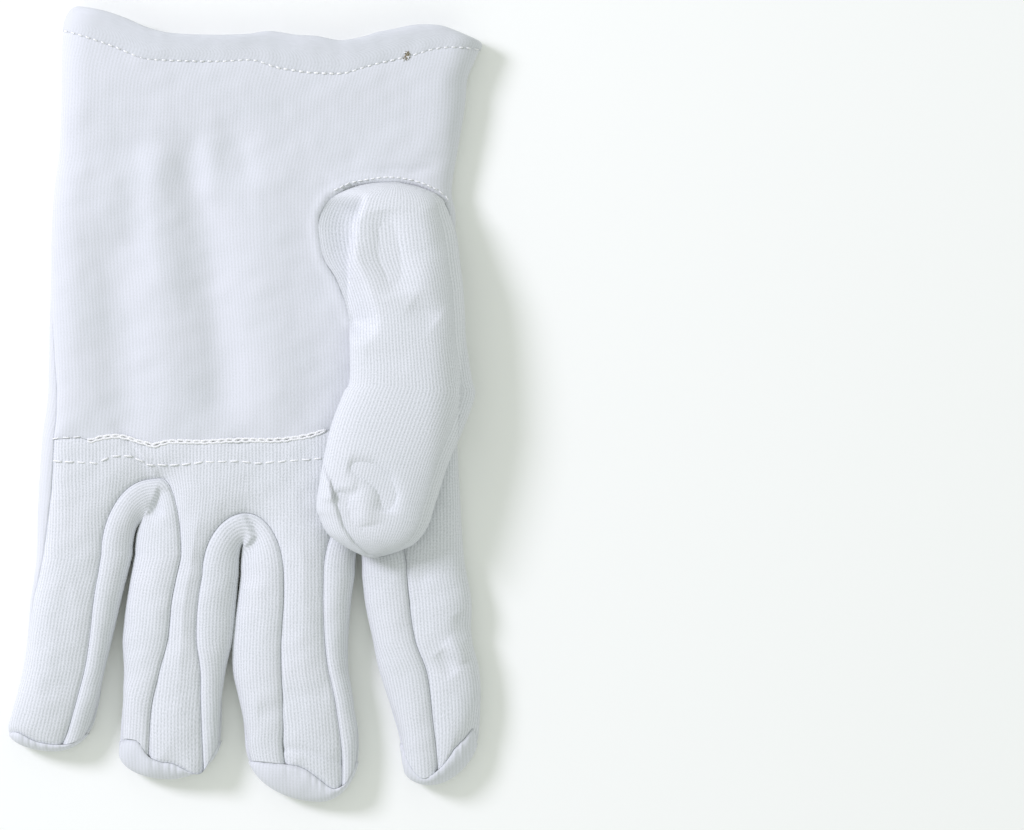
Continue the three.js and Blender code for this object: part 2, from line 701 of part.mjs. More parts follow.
// Side strip of two neighbouring fingers, round the crotch between them
function fourchetteCloth(i) {
  const cloth = new Cloth();
  const line = (finger, side, station) => {
    const rim = gapRim(finger, side, station);
    const seam = { ...rim, reach: rim.reach - seamGap / 2 };
    const low = backSeamAngle(station);
    return roundAngles(90, low + gapAngle(seam, low)).map((a) => edgePair(seam, a));
  };
  const down = fingerStations.map((station) => line(i, 'Right', station));
  const up = fingerStations.map((station) => line(i + 1, 'Left', station));
  cloth.rows([...up.slice(1).reverse(), ...down]);
  return cloth.geometry();
}

function hemCloth() {
  const cloth = new Cloth();
  const rows = steps(fineness.hemRows).map((s) => {
    const y = palmLength + lerp(seamGap * 1.5, hemDepth, s);
    const rims = ['Left', 'Right'].map((side) => sideRim(y, side));
    const [left, right] = rims;
    const loop = [
      ...roundAngles(-90, 90).map((a) => [left, a]),
      ...roundAngles(90, -90).map((a) => [right, a]),
    ];
    const line = loop.map(([rim, a]) => pair(
      edgePoint(rim, a, 0), edgePoint(rim, a, hemThickness)));
    const half = line.length / 2;
    const top = evenLine([line[half - 1], line[half]], fineness.hemTop).slice(1, -1);
    for (const p of top) {
      p.outer.z = topHeight(p.outer.x, p.outer.y);
      p.inner.z = p.outer.z - hemThickness;
    }
    const bottom = evenLine([line[line.length - 1], line[0]], fineness.hemUnder).slice(1);
    return [...line.slice(0, half), ...top, ...line.slice(half), ...bottom].reverse();
  });
  cloth.rows(rows);
  return cloth.geometry();
}

function solidOf(geometry) {
  const bare = geometry.clone();
  bare.deleteAttribute('normal');
  bare.deleteAttribute('uv');
  const merged = mergeVertices(bare, 1e-4);
  return new wasm.Manifold(new wasm.Mesh({
    numProp: 3,
    vertProperties: new Float32Array(merged.getAttribute('position').array),
    triVerts: new Uint32Array(merged.getIndex().array),
  }));
}

function geometryOf(solid) {
  const { vertProperties, triVerts } = solid.getMesh();
  const geometry = new THREE.BufferGeometry();
  geometry.setAttribute('position', new THREE.BufferAttribute(vertProperties, 3));
  geometry.setIndex(new THREE.BufferAttribute(triVerts, 1));
  return geometry;
}

const thumbBaseX = palmEdges(thumbTop).right - thumbInset;
const holeCentre = [
  thumbBaseX - thumbWidth * shape.holeAcross, thumbTop - thumbHoleLength * shape.holeAlong];

// Closed tube of the thumb, set in by some depth
function thumbBody(depth) {
  const end = shape.thumbEndInset * depth / thumbLength;
  const rings = steps(fineness.thumbRows).map((s) => {
    const dense = s - fineness.thumbEnds * Math.sin(2 * Math.PI * s);
    const at = lerp(end, 1 - end, dense);
    const half = thumbWidth * read(thumbRows, 'at', 'width', at) / 2 - depth;
    const height = thumbHeight * read(thumbRows, 'at', 'height', at);
    const x = thumbBaseX + thumbWidth * read(thumbRows, 'at', 'shift', at);
    const y = thumbTop - at * thumbLength;
    const edge = height * shape.thumbEdge;
    return steps(fineness.thumbRound).slice(0, -1).map((turn) => {
      const a = turn * 2 * Math.PI;
      const cos = Math.sign(Math.cos(a)) * Math.abs(Math.cos(a)) ** shape.thumbAcross;
      const px = x + half * cos;
      const floor = topHeight(px, y) + layerClearance;
      const sin = Math.sin(a);
      const above = (height - edge - depth) * Math.abs(sin) ** shape.thumbAbove;
      const below = (edge - depth) * Math.abs(sin) ** shape.thumbBelow;
      return new THREE.Vector3(px, y, floor + edge + (sin > 0 ? above : -below));
    });
  });
  const count = fineness.thumbRound;
  const positions = rings.flat();
  const index = [];
  for (let r = 1; r < rings.length; r += 1) {
    for (let c = 0; c < count; c += 1) {
      const [a, b] = [(r - 1) * count + c, (r - 1) * count + (c + 1) % count];
      index.push(a, b, b + count, a, b + count, a + count);
    }
  }
  const cap = (start, turn) => {
    const centre = new THREE.Vector3();
    for (let c = 0; c < count; c += 1) centre.addScaledVector(positions[start + c], 1 / count);
    positions.push(centre);
    for (let c = 0; c < count; c += 1) {
      const [a, b] = [start + c, start + (c + 1) % count];
      index.push(positions.length - 1, ...(turn ? [a, b] : [b, a]));
    }
  };
  cap(0, false);
  cap((rings.length - 1) * count, true);
  const geometry = new THREE.BufferGeometry();
  geometry.setAttribute('position', new THREE.Float32BufferAttribute(
    positions.flatMap((p) => p.toArray()), 3));
  geometry.setIndex(index);
  return geometry;
}

// Upright oval plug at the thumb hole, narrower than the hole by some clearance
function holePlug(clearance, low, high) {
  const plug = new THREE.CylinderGeometry(1, 1, high - low, fineness.holeSides);
  plug.rotateX(Math.PI / 2);
  plug.scale(thumbHoleWidth / 2 - clearance, thumbHoleLength / 2 - clearance, 1);
  plug.translate(holeCentre[0], holeCentre[1], middleOf(low, high));
  return solidOf(plug);
}

const palmTop = topHeight(...holeCentre);

function thumbCloth() {
  const low = palmTop - clothThickness * shape.plugDepth;
  const high = palmTop + thumbHeight / 2;
  const outer = solidOf(thumbBody(0)).add(holePlug(seamGap, low, high));
  const inner = solidOf(thumbBody(clothThickness))
    .add(holePlug(seamGap + clothThickness, low - clothThickness, high - clothThickness));
  return geometryOf(outer.subtract(inner));
}

// White cotton, a little bluer on the turned hem
const cottonColour = 0xe3e6f1;
const hemColour = 0xe0e3ee;

function piece(name, geometry, colour = cottonColour) {
  const material = new THREE.MeshStandardMaterial({
    color: colour, roughness: 0.95, metalness: 0,
  });
  const flat = waveCuff(geometry);
  flat.computeVertexNormals();
  const mesh = new THREE.Mesh(flat, material);
  mesh.name = name;
  return mesh;
}

const holeCut = holePlug(0, palmTop - thumbHeight, palmTop + thumbHeight);

const glove = new THREE.Group();
glove.add(
  piece('back', backCloth()),
  piece('palm', geometryOf(solidOf(palmCloth()).subtract(holeCut))),
  piece('finger_front', fingerFrontCloth()),
  piece('fourchette_little_ring', fourchetteCloth(0)),
  piece('fourchette_ring_middle', fourchetteCloth(1)),
  piece('fourchette_middle_index', fourchetteCloth(2)),
  piece('thumb', thumbCloth()),
  piece('cuff_hem', hemCloth(), hemColour),
);

// Origin in the middle of the glove's outline, on the surface that it lies on
const box = new THREE.Box3().setFromObject(glove);
const centre = box.getCenter(new THREE.Vector3());
glove.position.set(-centre.x, -centre.y, -box.min.z);

export default glove;
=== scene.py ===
# White cotton dress glove, left hand, palm up, with the thumb folded over the palm.
# Shapes are worked out in millimetres from the knuckle seam and set into the frame at the end.
import bpy
import math
import random
import numpy as np
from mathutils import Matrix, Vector


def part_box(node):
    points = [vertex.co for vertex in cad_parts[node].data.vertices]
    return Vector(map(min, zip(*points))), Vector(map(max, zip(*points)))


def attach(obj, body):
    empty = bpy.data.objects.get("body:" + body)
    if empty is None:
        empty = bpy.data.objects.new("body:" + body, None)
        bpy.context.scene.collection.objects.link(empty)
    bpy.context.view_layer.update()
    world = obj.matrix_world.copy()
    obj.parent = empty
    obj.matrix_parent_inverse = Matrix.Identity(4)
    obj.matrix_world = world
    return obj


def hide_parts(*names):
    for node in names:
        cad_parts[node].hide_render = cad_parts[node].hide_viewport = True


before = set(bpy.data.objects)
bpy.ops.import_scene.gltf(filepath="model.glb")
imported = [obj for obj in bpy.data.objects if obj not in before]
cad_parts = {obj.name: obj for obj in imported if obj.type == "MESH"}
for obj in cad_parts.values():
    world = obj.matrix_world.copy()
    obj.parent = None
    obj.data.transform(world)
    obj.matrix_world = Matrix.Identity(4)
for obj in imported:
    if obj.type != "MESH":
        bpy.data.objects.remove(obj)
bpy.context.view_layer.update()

hand = {
    "clothThickness": 1.2,
    "seamGap": 0.06,
    "cadSeamGap": 0.3,
    "fingerClearance": 0.4,
    "palmLength": 106.5,
    "wristWidth": 112.5,
    "cuffWidth": 114.5,
    "palmHeight": 9.5,
    "cuffHeight": 11.0,
    "edgeHeight": 3.8,
    "sideRound": 9.0,
    "fingerHeight": 10.5,
    "tipDrop": 2.2,
    "crotchDip": 1.1,
    "middleReach": 103.0,
}

fingers = [
    {"name": "little", "width": 24.0, "reach": 88.9, "fold": 5.0,
     "leftRound": 8.0, "rightRound": 9.0, "low": 0.62},
    {"name": "ring", "width": 30.5, "reach": 96.8, "fold": 10.7,
     "leftRound": 8.5, "rightRound": 12.0, "low": 0.52},
    {"name": "middle", "width": 32.5, "reach": 103.2, "fold": 11.5,
     "leftRound": 17.0, "rightRound": 14.0, "low": 0.68},
    {"name": "index", "width": 30.0, "reach": 98.5, "fold": 11.9,
     "leftRound": 5.0, "rightRound": 15.0, "low": 0.36},
]

crotches = [
    {"name": "littleRing", "spread": 9.5, "apex": 10.7, "top": 24.6, "foot": 33.0, "slide": 3.5},
    {"name": "ringMiddle", "spread": 7.6, "apex": 21.2, "top": 30.5, "foot": 38.7, "slide": 0.0},
    {"name": "middleIndex", "spread": 12.4, "apex": 19.0, "top": 31.0, "foot": 38.7, "slide": 1.2},
]

# Shares of each finger's width and each gap's spread, from the knuckle seam to the longest tip
fingerRows = {
    "down": [0.0, 0.17, 0.335, 0.445, 0.555, 0.637, 0.72, 0.83, 1.0],
    "shift": [0.0, 0.0, 0.003, 0.004, 0.0, 0.002, -0.005, -0.02, -0.042],
    "little": [1.235, 1.247, 1.106, 1.05, 0.99, 0.965, 0.976, 0.976, 0.94],
    "ring": [0.907, 0.944, 1.01, 1.03, 1.02, 0.944, 0.917, 0.907, 0.88],
    "middle": [1.01, 0.99, 1.017, 1.0, 1.0, 1.0, 0.99, 0.974, 0.93],
    "index": [0.915, 0.953, 1.0, 1.02, 0.934, 0.934, 0.858, 0.708, 0.55],
    "littleRing": [0, 0, 0, 0.13, 0.32, 0.57, 0.72, 1.0, 1.3],
    "ringMiddle": [0, 0, 0, 0, 0.02, 0.28, 0.66, 1.0, 1.3],
    "middleIndex": [0, 0, 0.05, 0.28, 0.58, 0.72, 0.81, 1.0, 1.25],
}

# How far the cloth swells over each finger's outline down its left and right side
swells = {
    "down": [0.0, 0.35, 0.45, 0.6, 0.8, 1.0],
    "outer": [0.5, 0.8, 0.9, 0.9, 0.9, 0.5],
    "left": [0.0, 0.0, 0.3, 1.0, 1.3, 0.9],
    "right": [0.0, 0.0, 0.1, 0.3, 0.7, 0.5],
}

# How far the seams beside each gap stand in on the front, as shares of the finger's width
seamRows = {
    "down": [0.335, 0.445, 0.555, 0.637, 0.72, 0.83],
    "littleRight": [0.318, 0.294, 0.259, 0.247, 0.282, 0.32],
    "ringLeft": [0.444, 0.417, 0.417, 0.361, 0.306, 0.296],
    "ringRight": [0.324, 0.343, 0.324, 0.25, 0.213, 0.17],
    "middleLeft": [0.36, 0.409, 0.426, 0.426, 0.391, 0.34],
    "middleRight": [0.287, 0.243, 0.2, 0.175, 0.16, 0.15],
    "indexLeft": [0.434, 0.415, 0.425, 0.472, 0.48, 0.48],
}

# How far the palm's outline stands out of its straight shape, in shares of its width
sideRows = {
    "up": [0.0, 0.11, 0.34, 0.55, 0.66, 0.76, 0.87, 0.93, 0.97, 1.0],
    "left": [0.0045, 0.005, 0.0075, 0.0075, 0.005, 0.0025, 0.006, 0.006, 0.003, 0.001],
    "right": [0.0, 0.0, 0.0025, 0.0, 0.0025, 0.005, 0.009, 0.01, 0.024, 0.034],
}

palmRows = {
    "up": [0.0, 0.11, 0.34, 0.55, 0.66, 0.76, 0.87, 1.0],
    "toWrist": [0.0, 0.25, 0.3, 0.7, 1.0, 1.0, 1.0, 1.0],
    "toCuff": [0, 0, 0, 0, 0, 0.1, 0.45, 1.0],
    "shift": [0.0, 0.009, 0.014, 0.008, 0.006, 0.017, 0.029, 0.034],
}

# Side seams, in degrees round the edge of the hand: 0 at its widest, 90 on top
sideSeamRows = {
    "along": [0.0, 0.3, 0.48, 0.62, 0.72, 0.85, 1.0],
    "left": [-10, 0, 40, 50, 30, 0, 0],
    "right": [-10, -15, -15, -15, -15, -10, 0],
}

# Wave of the hem's stitching, across from the left edge to the right, and of its top edge
stitchWave = {
    "across": [-1.0, -0.86, -0.74, -0.61, -0.5, -0.23, -0.08, 0.02, 0.12, 0.2, 0.35, 0.42, 0.5,
               0.6, 0.7, 0.78, 0.86, 1.0],
    "rise": [8.8, 6.2, 3.7, 0.6, 0.0, -0.3, 0.0, -1.9, -3.0, -3.6, -3.7, -2.5, -1.1, 0.3, 1.8,
             3.2, 3.7, 3.4],
}
edgeWave = {
    "across": [-1.0, -0.84, -0.73, -0.61, -0.5, -0.3, -0.1, 0.0, 0.06, 0.15, 0.26, 0.38, 0.5,
               0.56, 0.66, 0.75, 0.83, 0.92, 1.0],
    "rise": [8.6, 6.9, 4.9, 2.1, 0.6, 0.0, 0.2, 1.0, 0.8, 0.0, -0.4, -1.55, -0.5, 0.6, 1.7, 2.7,
             2.9, 2.4, 0.5],
}

hem = {
    "depth": 7.4,
    "thickness": 2.2,
    "flare": 3.4,
    "acrossRows": 14,
    "rows": {
        "up": [0.0, 0.35, 0.65, 1.0],
        "left": [0.0, -0.1, -0.35, -0.9],
        "right": [0.0, 0.15, -0.25, -1.6],
    },
}

# Small waves of the knuckle seam along X
knuckleWave = {
    "x": [-56, -48, -45, -42.5, -37, -32, -27.5, -23, -13, -3.5, 7.5, 16, 22.5, 40],
    "rise": [-0.5, 0.0, -0.8, 0.0, 0.5, -0.8, -2.0, -1.1, -1.1, -0.6, -0.6, 0.5, 2.2, 1.5],
}


def lerp(a, b, t):
    return a + (b - a) * t


def smooth(t):
    t = np.clip(t, 0, 1)
    return t * t * (3 - 2 * t)


def read(table, place, column, at):
    # value of a column at a place, on a smooth curve through the table's rows
    xs = np.asarray(table[place], float)
    ys = np.asarray(table[column], float)
    last = len(xs) - 1
    at = np.clip(np.asarray(at, float), xs[0], xs[-1])
    before = np.maximum(np.arange(last + 1) - 1, 0)
    after = np.minimum(np.arange(last + 1) + 1, last)
    slope = (ys[after] - ys[before]) / (xs[after] - xs[before])
    i = np.clip(np.searchsorted(xs, at, side="right") - 1, 0, last - 1)
    span = xs[i + 1] - xs[i]
    s = (at - xs[i]) / span
    hump = s * (1 - s)
    return lerp(ys[i], ys[i + 1], s * s * (3 - 2 * s)) + span * hump * (
        slope[i] * (1 - s) - slope[i + 1] * s)


def handEdges(y):
    # left and right edge of every finger at y, before its tip is rounded
    down = -y / hand["middleReach"]
    widths = [f["width"] * read(fingerRows, "down", f["name"], down) for f in fingers]
    gaps = [c["spread"] * read(fingerRows, "down", c["name"], down) for c in crotches]
    total = sum(widths) + sum(gaps)
    x = read(fingerRows, "down", "shift", down) * total - total / 2
    half = hand["fingerClearance"] / 2
    edges = []
    for i in range(4):
        left = read(swells, "down", "outer" if i == 0 else "left", down)
        right = read(swells, "down", "right", down)
        edges.append((x + (half if i > 0 else 0) - left,
                      x + widths[i] - (half if i < 3 else 0) + right))
        x = x + widths[i] + (gaps[i] if i < 3 else 0)
    return edges


knuckles = handEdges(0)
handWidth = knuckles[3][1] - knuckles[0][0] - swells["outer"][0]


def fingerEdges(i, y):
    left, right = handEdges(y)[i]
    low = lerp(left, right, fingers[i]["low"])
    shares = []
    for side in ("leftRound", "rightRound"):
        near = min(max((y + fingers[i]["reach"]) / fingers[i][side], 0), 1)
        shares.append(math.sqrt(max(1 - (1 - near) ** 2.2, 0)))
    return low - (low - left) * shares[0], low + (right - low) * shares[1]


def plainPalm(y):
    # middle and width of the palm at y, before the small waves of its sides
    up = np.clip(y / hand["palmLength"], 0, 1)
    width = lerp(
        lerp(handWidth, hand["wristWidth"], read(palmRows, "up", "toWrist", up)),
        hand["cuffWidth"], read(palmRows, "up", "toCuff", up))
    return read(palmRows, "up", "shift", up) * width, width


def palmEdges(y):
    # left and right edge of the palm and the hem at y
    middle, width = plainPalm(y)
    up = np.clip(y / hand["palmLength"], 0, 1)
    hemUp = np.clip((y - hand["palmLength"]) / hem["depth"], 0, 1)
    flare = np.where(y > hand["palmLength"], hem["flare"], 0)
    left = middle - width * (0.5 + read(sideRows, "up", "left", up))
    right = middle + width * (0.5 + read(sideRows, "up", "right", up))
    return (left - flare * read(hem["rows"], "up", "left", hemUp),
            right + flare * read(hem["rows"], "up", "right", hemUp))


def handSide(y):
    if y >= 0:
        return palmEdges(y)
    edges = handEdges(y)
    return edges[0][0], edges[3][1]


# Soft folds and dents: a line in millimetres, how far they spread and how high they rise
softFolds = [
    {"line": [(-17, 81), (-15.2, 70), (-12.1, 50), (-9.3, 28), (-8, 12)], "spread": 6,
     "rise": -1.875},
    {"line": [(-27, 78), (-26, 62), (-24.5, 46)], "spread": 5, "rise": 1.0},
    {"line": [(-38, 52), (-37, 28), (-36, 8)], "spread": 7, "rise": -1.625},
    {"line": [(-24, 40), (-22, 10)], "spread": 6, "rise": 0.75},
    {"line": [(-12, 83), (-11, 70)], "spread": 3.6, "rise": 1.0},
    {"line": [(-34, 70), (-33, 56)], "spread": 4, "rise": -0.75},
    {"line": [(-46, 84), (-34, 81)], "spread": 6, "rise": -1.25},
    {"line": [(-5, 86), (-1.5, 76)], "spread": 4, "rise": -1.0},
    {"line": [(4, 70), (6, 40), (8, 14)], "spread": 9, "rise": 1.375},
    {"line": [(12, 96), (30, 92)], "spread": 8, "rise": -0.75},
]


def nearLine(line, x, y):
    # distance to a line of points in plan, positive on its left, and the share along it
    best = np.full(np.shape(x), 1e9)
    side = np.zeros(np.shape(x))
    share = np.zeros(np.shape(x))
    count = len(line) - 1
    for k, ((x0, y0), (x1, y1)) in enumerate(zip(line[:-1], line[1:])):
        dx, dy = x1 - x0, y1 - y0
        size = math.hypot(dx, dy)
        along = ((x - x0) * dx + (y - y0) * dy) / size ** 2
        t = np.clip(along, 0, 1)
        away = np.hypot(x - x0 - t * dx, y - y0 - t * dy)
        nearer = away < best
        best = np.where(nearer, away, best)
        cross = (dx * (y - y0) - dy * (x - x0)) / size
        side = np.where(nearer, np.where(cross < 0, -1.0, 1.0), side)
        share = np.where(nearer, (k + t) / count, share)
    return best, side, share


def distanceTo(line, x, y):
    return nearLine(line, x, y)[0]


def foldHeight(x, y):
    height = np.zeros(np.shape(x))
    for fold in softFolds:
        away = distanceTo(fold["line"], x, y) / fold["spread"]
        height = height + fold["rise"] * np.exp(-away ** 2)
    return height


def creaseHeight(creases, x, y):
    # sharper marks in the cloth: grooves and ridges, and tucks where one side lies higher
    height = np.zeros(np.shape(x))
    for crease in creases:
        away, side, share = nearLine(crease["line"], x, y)
        ends = np.sqrt(np.clip(np.sin(np.pi * np.clip(share, 0.001, 0.999)), 0, 1))
        if crease.get("open"):
            ends = 1.0
        if "tuck" in crease:
            sharp = crease.get("edge", 0.22)
            edge = 1 / (1 + np.exp(-np.clip(away * side / sharp, -30, 30)))
            height = height + crease["tuck"] * ends * edge * np.exp(-away / crease["spread"])
        else:
            height = height + crease["rise"] * ends * np.exp(-(away / crease["spread"]) ** 2)
    return height


def topHeight(x, y, finger=-1):
    # height of the upper side, away from the rounded sides
    toCuff = smooth((y / hand["palmLength"] - 0.7) / 0.3)
    toFinger = smooth((-y / hand["middleReach"] - 0.1) / 0.4)
    height = lerp(hand["palmHeight"], hand["fingerHeight"], toFinger)
    height = lerp(height, hand["cuffHeight"], toCuff) + foldHeight(x, y) * (1 - 0.6 * toCuff)
    for crotch in crotches:
        away = np.hypot(x - crotch["apexX"], (y + crotch["apex"]) * 1.3) / hand["sideRound"]
        height = height - hand["crotchDip"] * np.exp(-away ** 2)
    if finger >= 0:
        rounds = fingers[finger]["leftRound"] + fingers[finger]["rightRound"]
        near = (y + fingers[finger]["reach"]) / rounds
        height = height - hand["tipDrop"] * (1 - smooth(near))
    return height


def seamInset(i, side, y):
    left, right = fingerEdges(i, y)
    share = read(seamRows, "down", fingers[i]["name"] + side, -y / hand["middleReach"])
    return (right - left) * share


for number, crotch in enumerate(crotches):
    at = handEdges(-crotch["apex"])
    crotch["apexX"] = (at[number][1] + at[number + 1][0]) / 2 + crotch["slide"]
    at = handEdges(-crotch["top"])
    crotch["topX"] = (at[number][1] + at[number + 1][0]) / 2


def tipSeam(i):
    return fingers[i]["fold"] - fingers[i]["reach"]


def gapRim(i, side, turn, leg):
    # widest place beside a gap, the way in from it, and where the front seam lies
    crotch = crotches[i if side == "Right" else i - 1]
    key = 1 if side == "Right" else 0
    inward = -1 if side == "Right" else 1
    if leg > 0 or turn >= 1:
        y = lerp(-crotch["foot"], tipSeam(i), leg)
        x = fingerEdges(i, y)[key]
        inset = seamInset(i, side, y)
        top = float(topHeight(x + inward * inset, y, i))
        return {"x": x, "y": y, "way": (inward, 0.0), "reach": inset, "top": top}
    swing = math.sin(turn * math.pi / 2)
    climb = math.cos(turn * math.pi / 2)
    footX = fingerEdges(i, -crotch["foot"])[key]
    seamX = footX + inward * seamInset(i, side, -crotch["foot"])
    seam = (lerp(crotch["apexX"], seamX, swing), lerp(-crotch["foot"], -crotch["apex"], climb))
    x = lerp(crotch["topX"], footX, swing)
    y = lerp(-crotch["foot"], -crotch["top"], climb)
    reach = math.hypot(seam[0] - x, seam[1] - y)
    way = ((seam[0] - x) / reach, (seam[1] - y) / reach)
    return {"x": x, "y": y, "way": way, "reach": reach, "top": float(topHeight(*seam, i))}


def sideRim(y, side):
    key = 0 if side == "Left" else 1
    finger = 0 if side == "Left" else 3
    onFinger = y < -crotches[0]["foot"]
    x = float(fingerEdges(finger, y)[key] if onFinger else handSide(y)[key])
    inward = 1 if side == "Left" else -1
    reach = min(hand["sideRound"], hand["sideRound"] * 0.6 + (fingers[finger]["reach"] + y) * 0.3)
    top = float(topHeight(x + inward * reach, y, finger if onFinger else -1))
    return {"x": x, "y": y, "way": (inward, 0.0), "reach": reach, "top": top}


def sideSeamAngle(y, side):
    reach = fingers[0 if side == "Left" else 3]["reach"]
    along = (hand["palmLength"] - y) / (hand["palmLength"] + reach)
    return float(read(sideSeamRows, "along", side.lower(), along))


def edgePoints(rim, angles, depth):
    # places on the rounded edge, from -90 degrees underneath to 90 on top
    a = np.radians(np.asarray(angles, float))
    edge = hand["edgeHeight"]
    reach = np.where(a > 0, rim["reach"], edge) - depth
    rise = np.where(a > 0, rim["top"] - edge, edge) - depth
    inward = depth + reach * (1 - np.cos(a))
    return np.stack([
        rim["x"] + rim["way"][0] * inward,
        rim["y"] + rim["way"][1] * inward,
        edge + rise * np.sin(a)], -1)


def gapAngle(rim, angle):
    a = math.radians(angle)
    edge = hand["edgeHeight"]
    reach = rim["reach"] if angle > 0 else edge
    rise = rim["top"] - edge if angle > 0 else edge
    return math.degrees(hand["seamGap"] / 2 / math.hypot(reach * math.sin(a), rise * math.cos(a)))


def edgeLine(rim, start, end, count=14, thick=hand["clothThickness"]):
    angles = np.linspace(start, end, count)
    return edgePoints(rim, angles, 0), edgePoints(rim, angles, thick)


def flatLine(x, y, z, down=1, thick=hand["clothThickness"]):
    outer = np.stack(np.broadcast_arrays(x, y, z), -1)
    return outer, outer - np.array([0, 0, down * thick])


def frontEdge(rim, side):
    # the hand's rounded side between its seam and the top
    seam = sideSeamAngle(rim["y"], side)
    low = seam + gapAngle(rim, seam)
    return edgeLine(rim, low, 90) if side == "Left" else edgeLine(rim, 90, low)


nearSeam = np.array([0, 0.22, 0.48, 0.8, 1.2, 1.7, 2.4, 3.3])


def acrossPlaces(length, middle, leftSeam, rightSeam):
    # distances along a row, closer together beside a seam; always the same number
    near = nearSeam * min(1, length / (2.6 * nearSeam[-1]))
    start = near if leftSeam else np.array([0.0])
    end = length - near[::-1] if rightSeam else np.array([length])
    between = np.linspace(start[-1], end[0], middle + 2)[1:-1]
    return np.concatenate([start, between, end])


def pathLengths(points):
    # how far each point lies along its line
    steps = np.linalg.norm(np.diff(points, axis=0), axis=1)
    return np.concatenate([[0], np.cumsum(steps)])


def cutLine(line, middle):
    # a row of cloth cut into places; also gives how far each one lies along the row
    lengths = pathLengths(line[0])
    keep = np.concatenate([[True], np.diff(lengths) > 1e-9])
    at = acrossPlaces(lengths[-1], middle, True, True)
    cut = [np.stack([np.interp(at, lengths[keep], side[keep, k]) for k in range(3)], -1)
           for side in line]
    return cut[0], cut[1], at, lengths[-1]


def columnsOf(rows):
    # cut rows as grids: outer places, inner places, how far along each lies, length of each row
    return [np.array(column) for column in zip(*rows)]


def joinLines(*lines):
    return (np.concatenate([line[0] for line in lines]),
            np.concatenate([line[1] for line in lines]))


def frontLine(i, left, right, sag=0.0):
    # front cloth over finger i, between two ends of a row
    start = left["x"] + (left["reach"] if i == 0 else 0)
    end = right["x"] - (right["reach"] if i == 3 else 0)
    s = np.linspace(0, 1, 40)[(1 if i == 0 else 0):(39 if i == 3 else 40)]
    x = lerp(start, end, s)
    tilt = left["y"] - right["y"]
    y = lerp(left["y"], right["y"], s)
    y = y + 1.2 * (max(tilt, 0) * s * (1 - s) ** 3 + max(-tilt, 0) * (1 - s) * s ** 3)
    y = y - sag * 4 * s * (1 - s)
    parts = [flatLine(x, y, topHeight(x, y, i))]
    if i == 0:
        parts.insert(0, frontEdge(left, "Left"))
    if i == 3:
        parts.append(frontEdge(right, "Right"))
    return cutLine(joinLines(*parts), fine["strip"][i])


def backLine(i, left, right):
    # back cloth of finger i, from seam to seam or to its neighbour's cloth
    parts = []
    for end, side, outermost in ((left, "Left", 0), (right, "Right", 3)):
        angle = sideSeamAngle(end["y"], side) if i == outermost else end.get("angle")
        if angle is None:
            parts.append(flatLine([end["x"]], [end["y"]], [0.0], -1))
            continue
        high = angle - gapAngle(end, angle)
        parts.append(edgeLine(end, high, -90) if side == "Left" else edgeLine(end, -90, high))
    return cutLine(joinLines(*parts), fine["backStrip"][i])


class Cloth:
    # a panel of cloth made of strips: grids of outer and inner places with their place in
    # the flat cloth, welded where strips share an edge and closed round the rim

    def __init__(self):
        self.outer, self.inner, self.flat, self.seam = [], [], [], []
        self.quads = []
        self.index = {}
        self.count = 0

    def addPlace(self, outer, inner, flat, seam):
        key = (round(outer[0] * 500), round(outer[1] * 500), round(outer[2] * 500))
        if key not in self.index:
            self.index[key] = self.count
            self.count += 1
            self.outer.append(outer)
            self.inner.append(inner)
            self.flat.append(flat)
            self.seam.append(seam)
        return self.index[key]

    def addStrip(self, outer, inner, flat, seam, turned=False, hole=None):
        rows, columns = outer.shape[:2]
        ids = np.empty((rows, columns), int)
        for r in range(rows):
            for c in range(columns):
                ids[r, c] = self.addPlace(outer[r, c], inner[r, c], flat[r, c], seam[r, c])
        for r in range(1, rows):
            for c in range(1, columns):
                if hole is None or not hole[r - 1:r + 1, c - 1:c + 1].all():
                    quad = [ids[r - 1][c - 1], ids[r][c - 1], ids[r][c], ids[r - 1][c]]
                    self.addFace(quad[::-1] if turned else quad)
        return ids

    def addFace(self, corners):
        kept = [v for k, v in enumerate(corners) if v != corners[k - 1]]
        if len(set(kept)) == len(kept) >= 3:
            self.quads.append(kept)


# How cloth turns in beside a seam: a close roll, a softer one and the round of the whole strip
seamRoll = {
    "close": 0.7, "closeWidth": 0.55,
    "soft": 0.5, "softWidth": 1.7,
    "round": 1.0, "roundWidth": 4.2,
}

# How much of that each kind of seam takes: all of it, and the round of it
seamKinds = {
    "gap": (1.0, 1.0), "strip": (1.0, 0.8), "side": (0.55, 0.3), "fingerSide": (0.6, 0.5),
    "knuckle": (0.35, 0.5), "tip": (0.55, 0.7), "hem": (0.16, 0.9), "back": (0.45, 0.2),
    "curl": (0.45, 0.3),
}


def rolledDepth(away, kind):
    amount, roundness = seamKinds[kind]
    depth = seamRoll["close"] * np.exp(-(away / seamRoll["closeWidth"]) ** 2)
    depth = depth + seamRoll["soft"] * np.exp(-(away / seamRoll["softWidth"]) ** 2)
    whole = seamRoll["round"] * np.exp(-(away / seamRoll["roundWidth"]) ** 2)
    return amount * (depth + roundness * whole)


def waveCuff(places):
    # the hem's wave bends everything near the cuff up or down along Y
    y = places[:, 1]
    left, right = palmEdges(np.maximum(y, 0))
    across = (places[:, 0] - (left + right) / 2) / ((right - left) / 2)
    share = smooth((y / hand["palmLength"] - 0.72) / 0.28)
    hemUp = np.clip((y - hand["palmLength"]) / hem["depth"], 0, 1)
    stitched = read(stitchWave, "across", "rise", across)
    waved = places.copy()
    waved[:, 1] += share * lerp(stitched, read(edgeWave, "across", "rise", across), hemUp)
    return waved


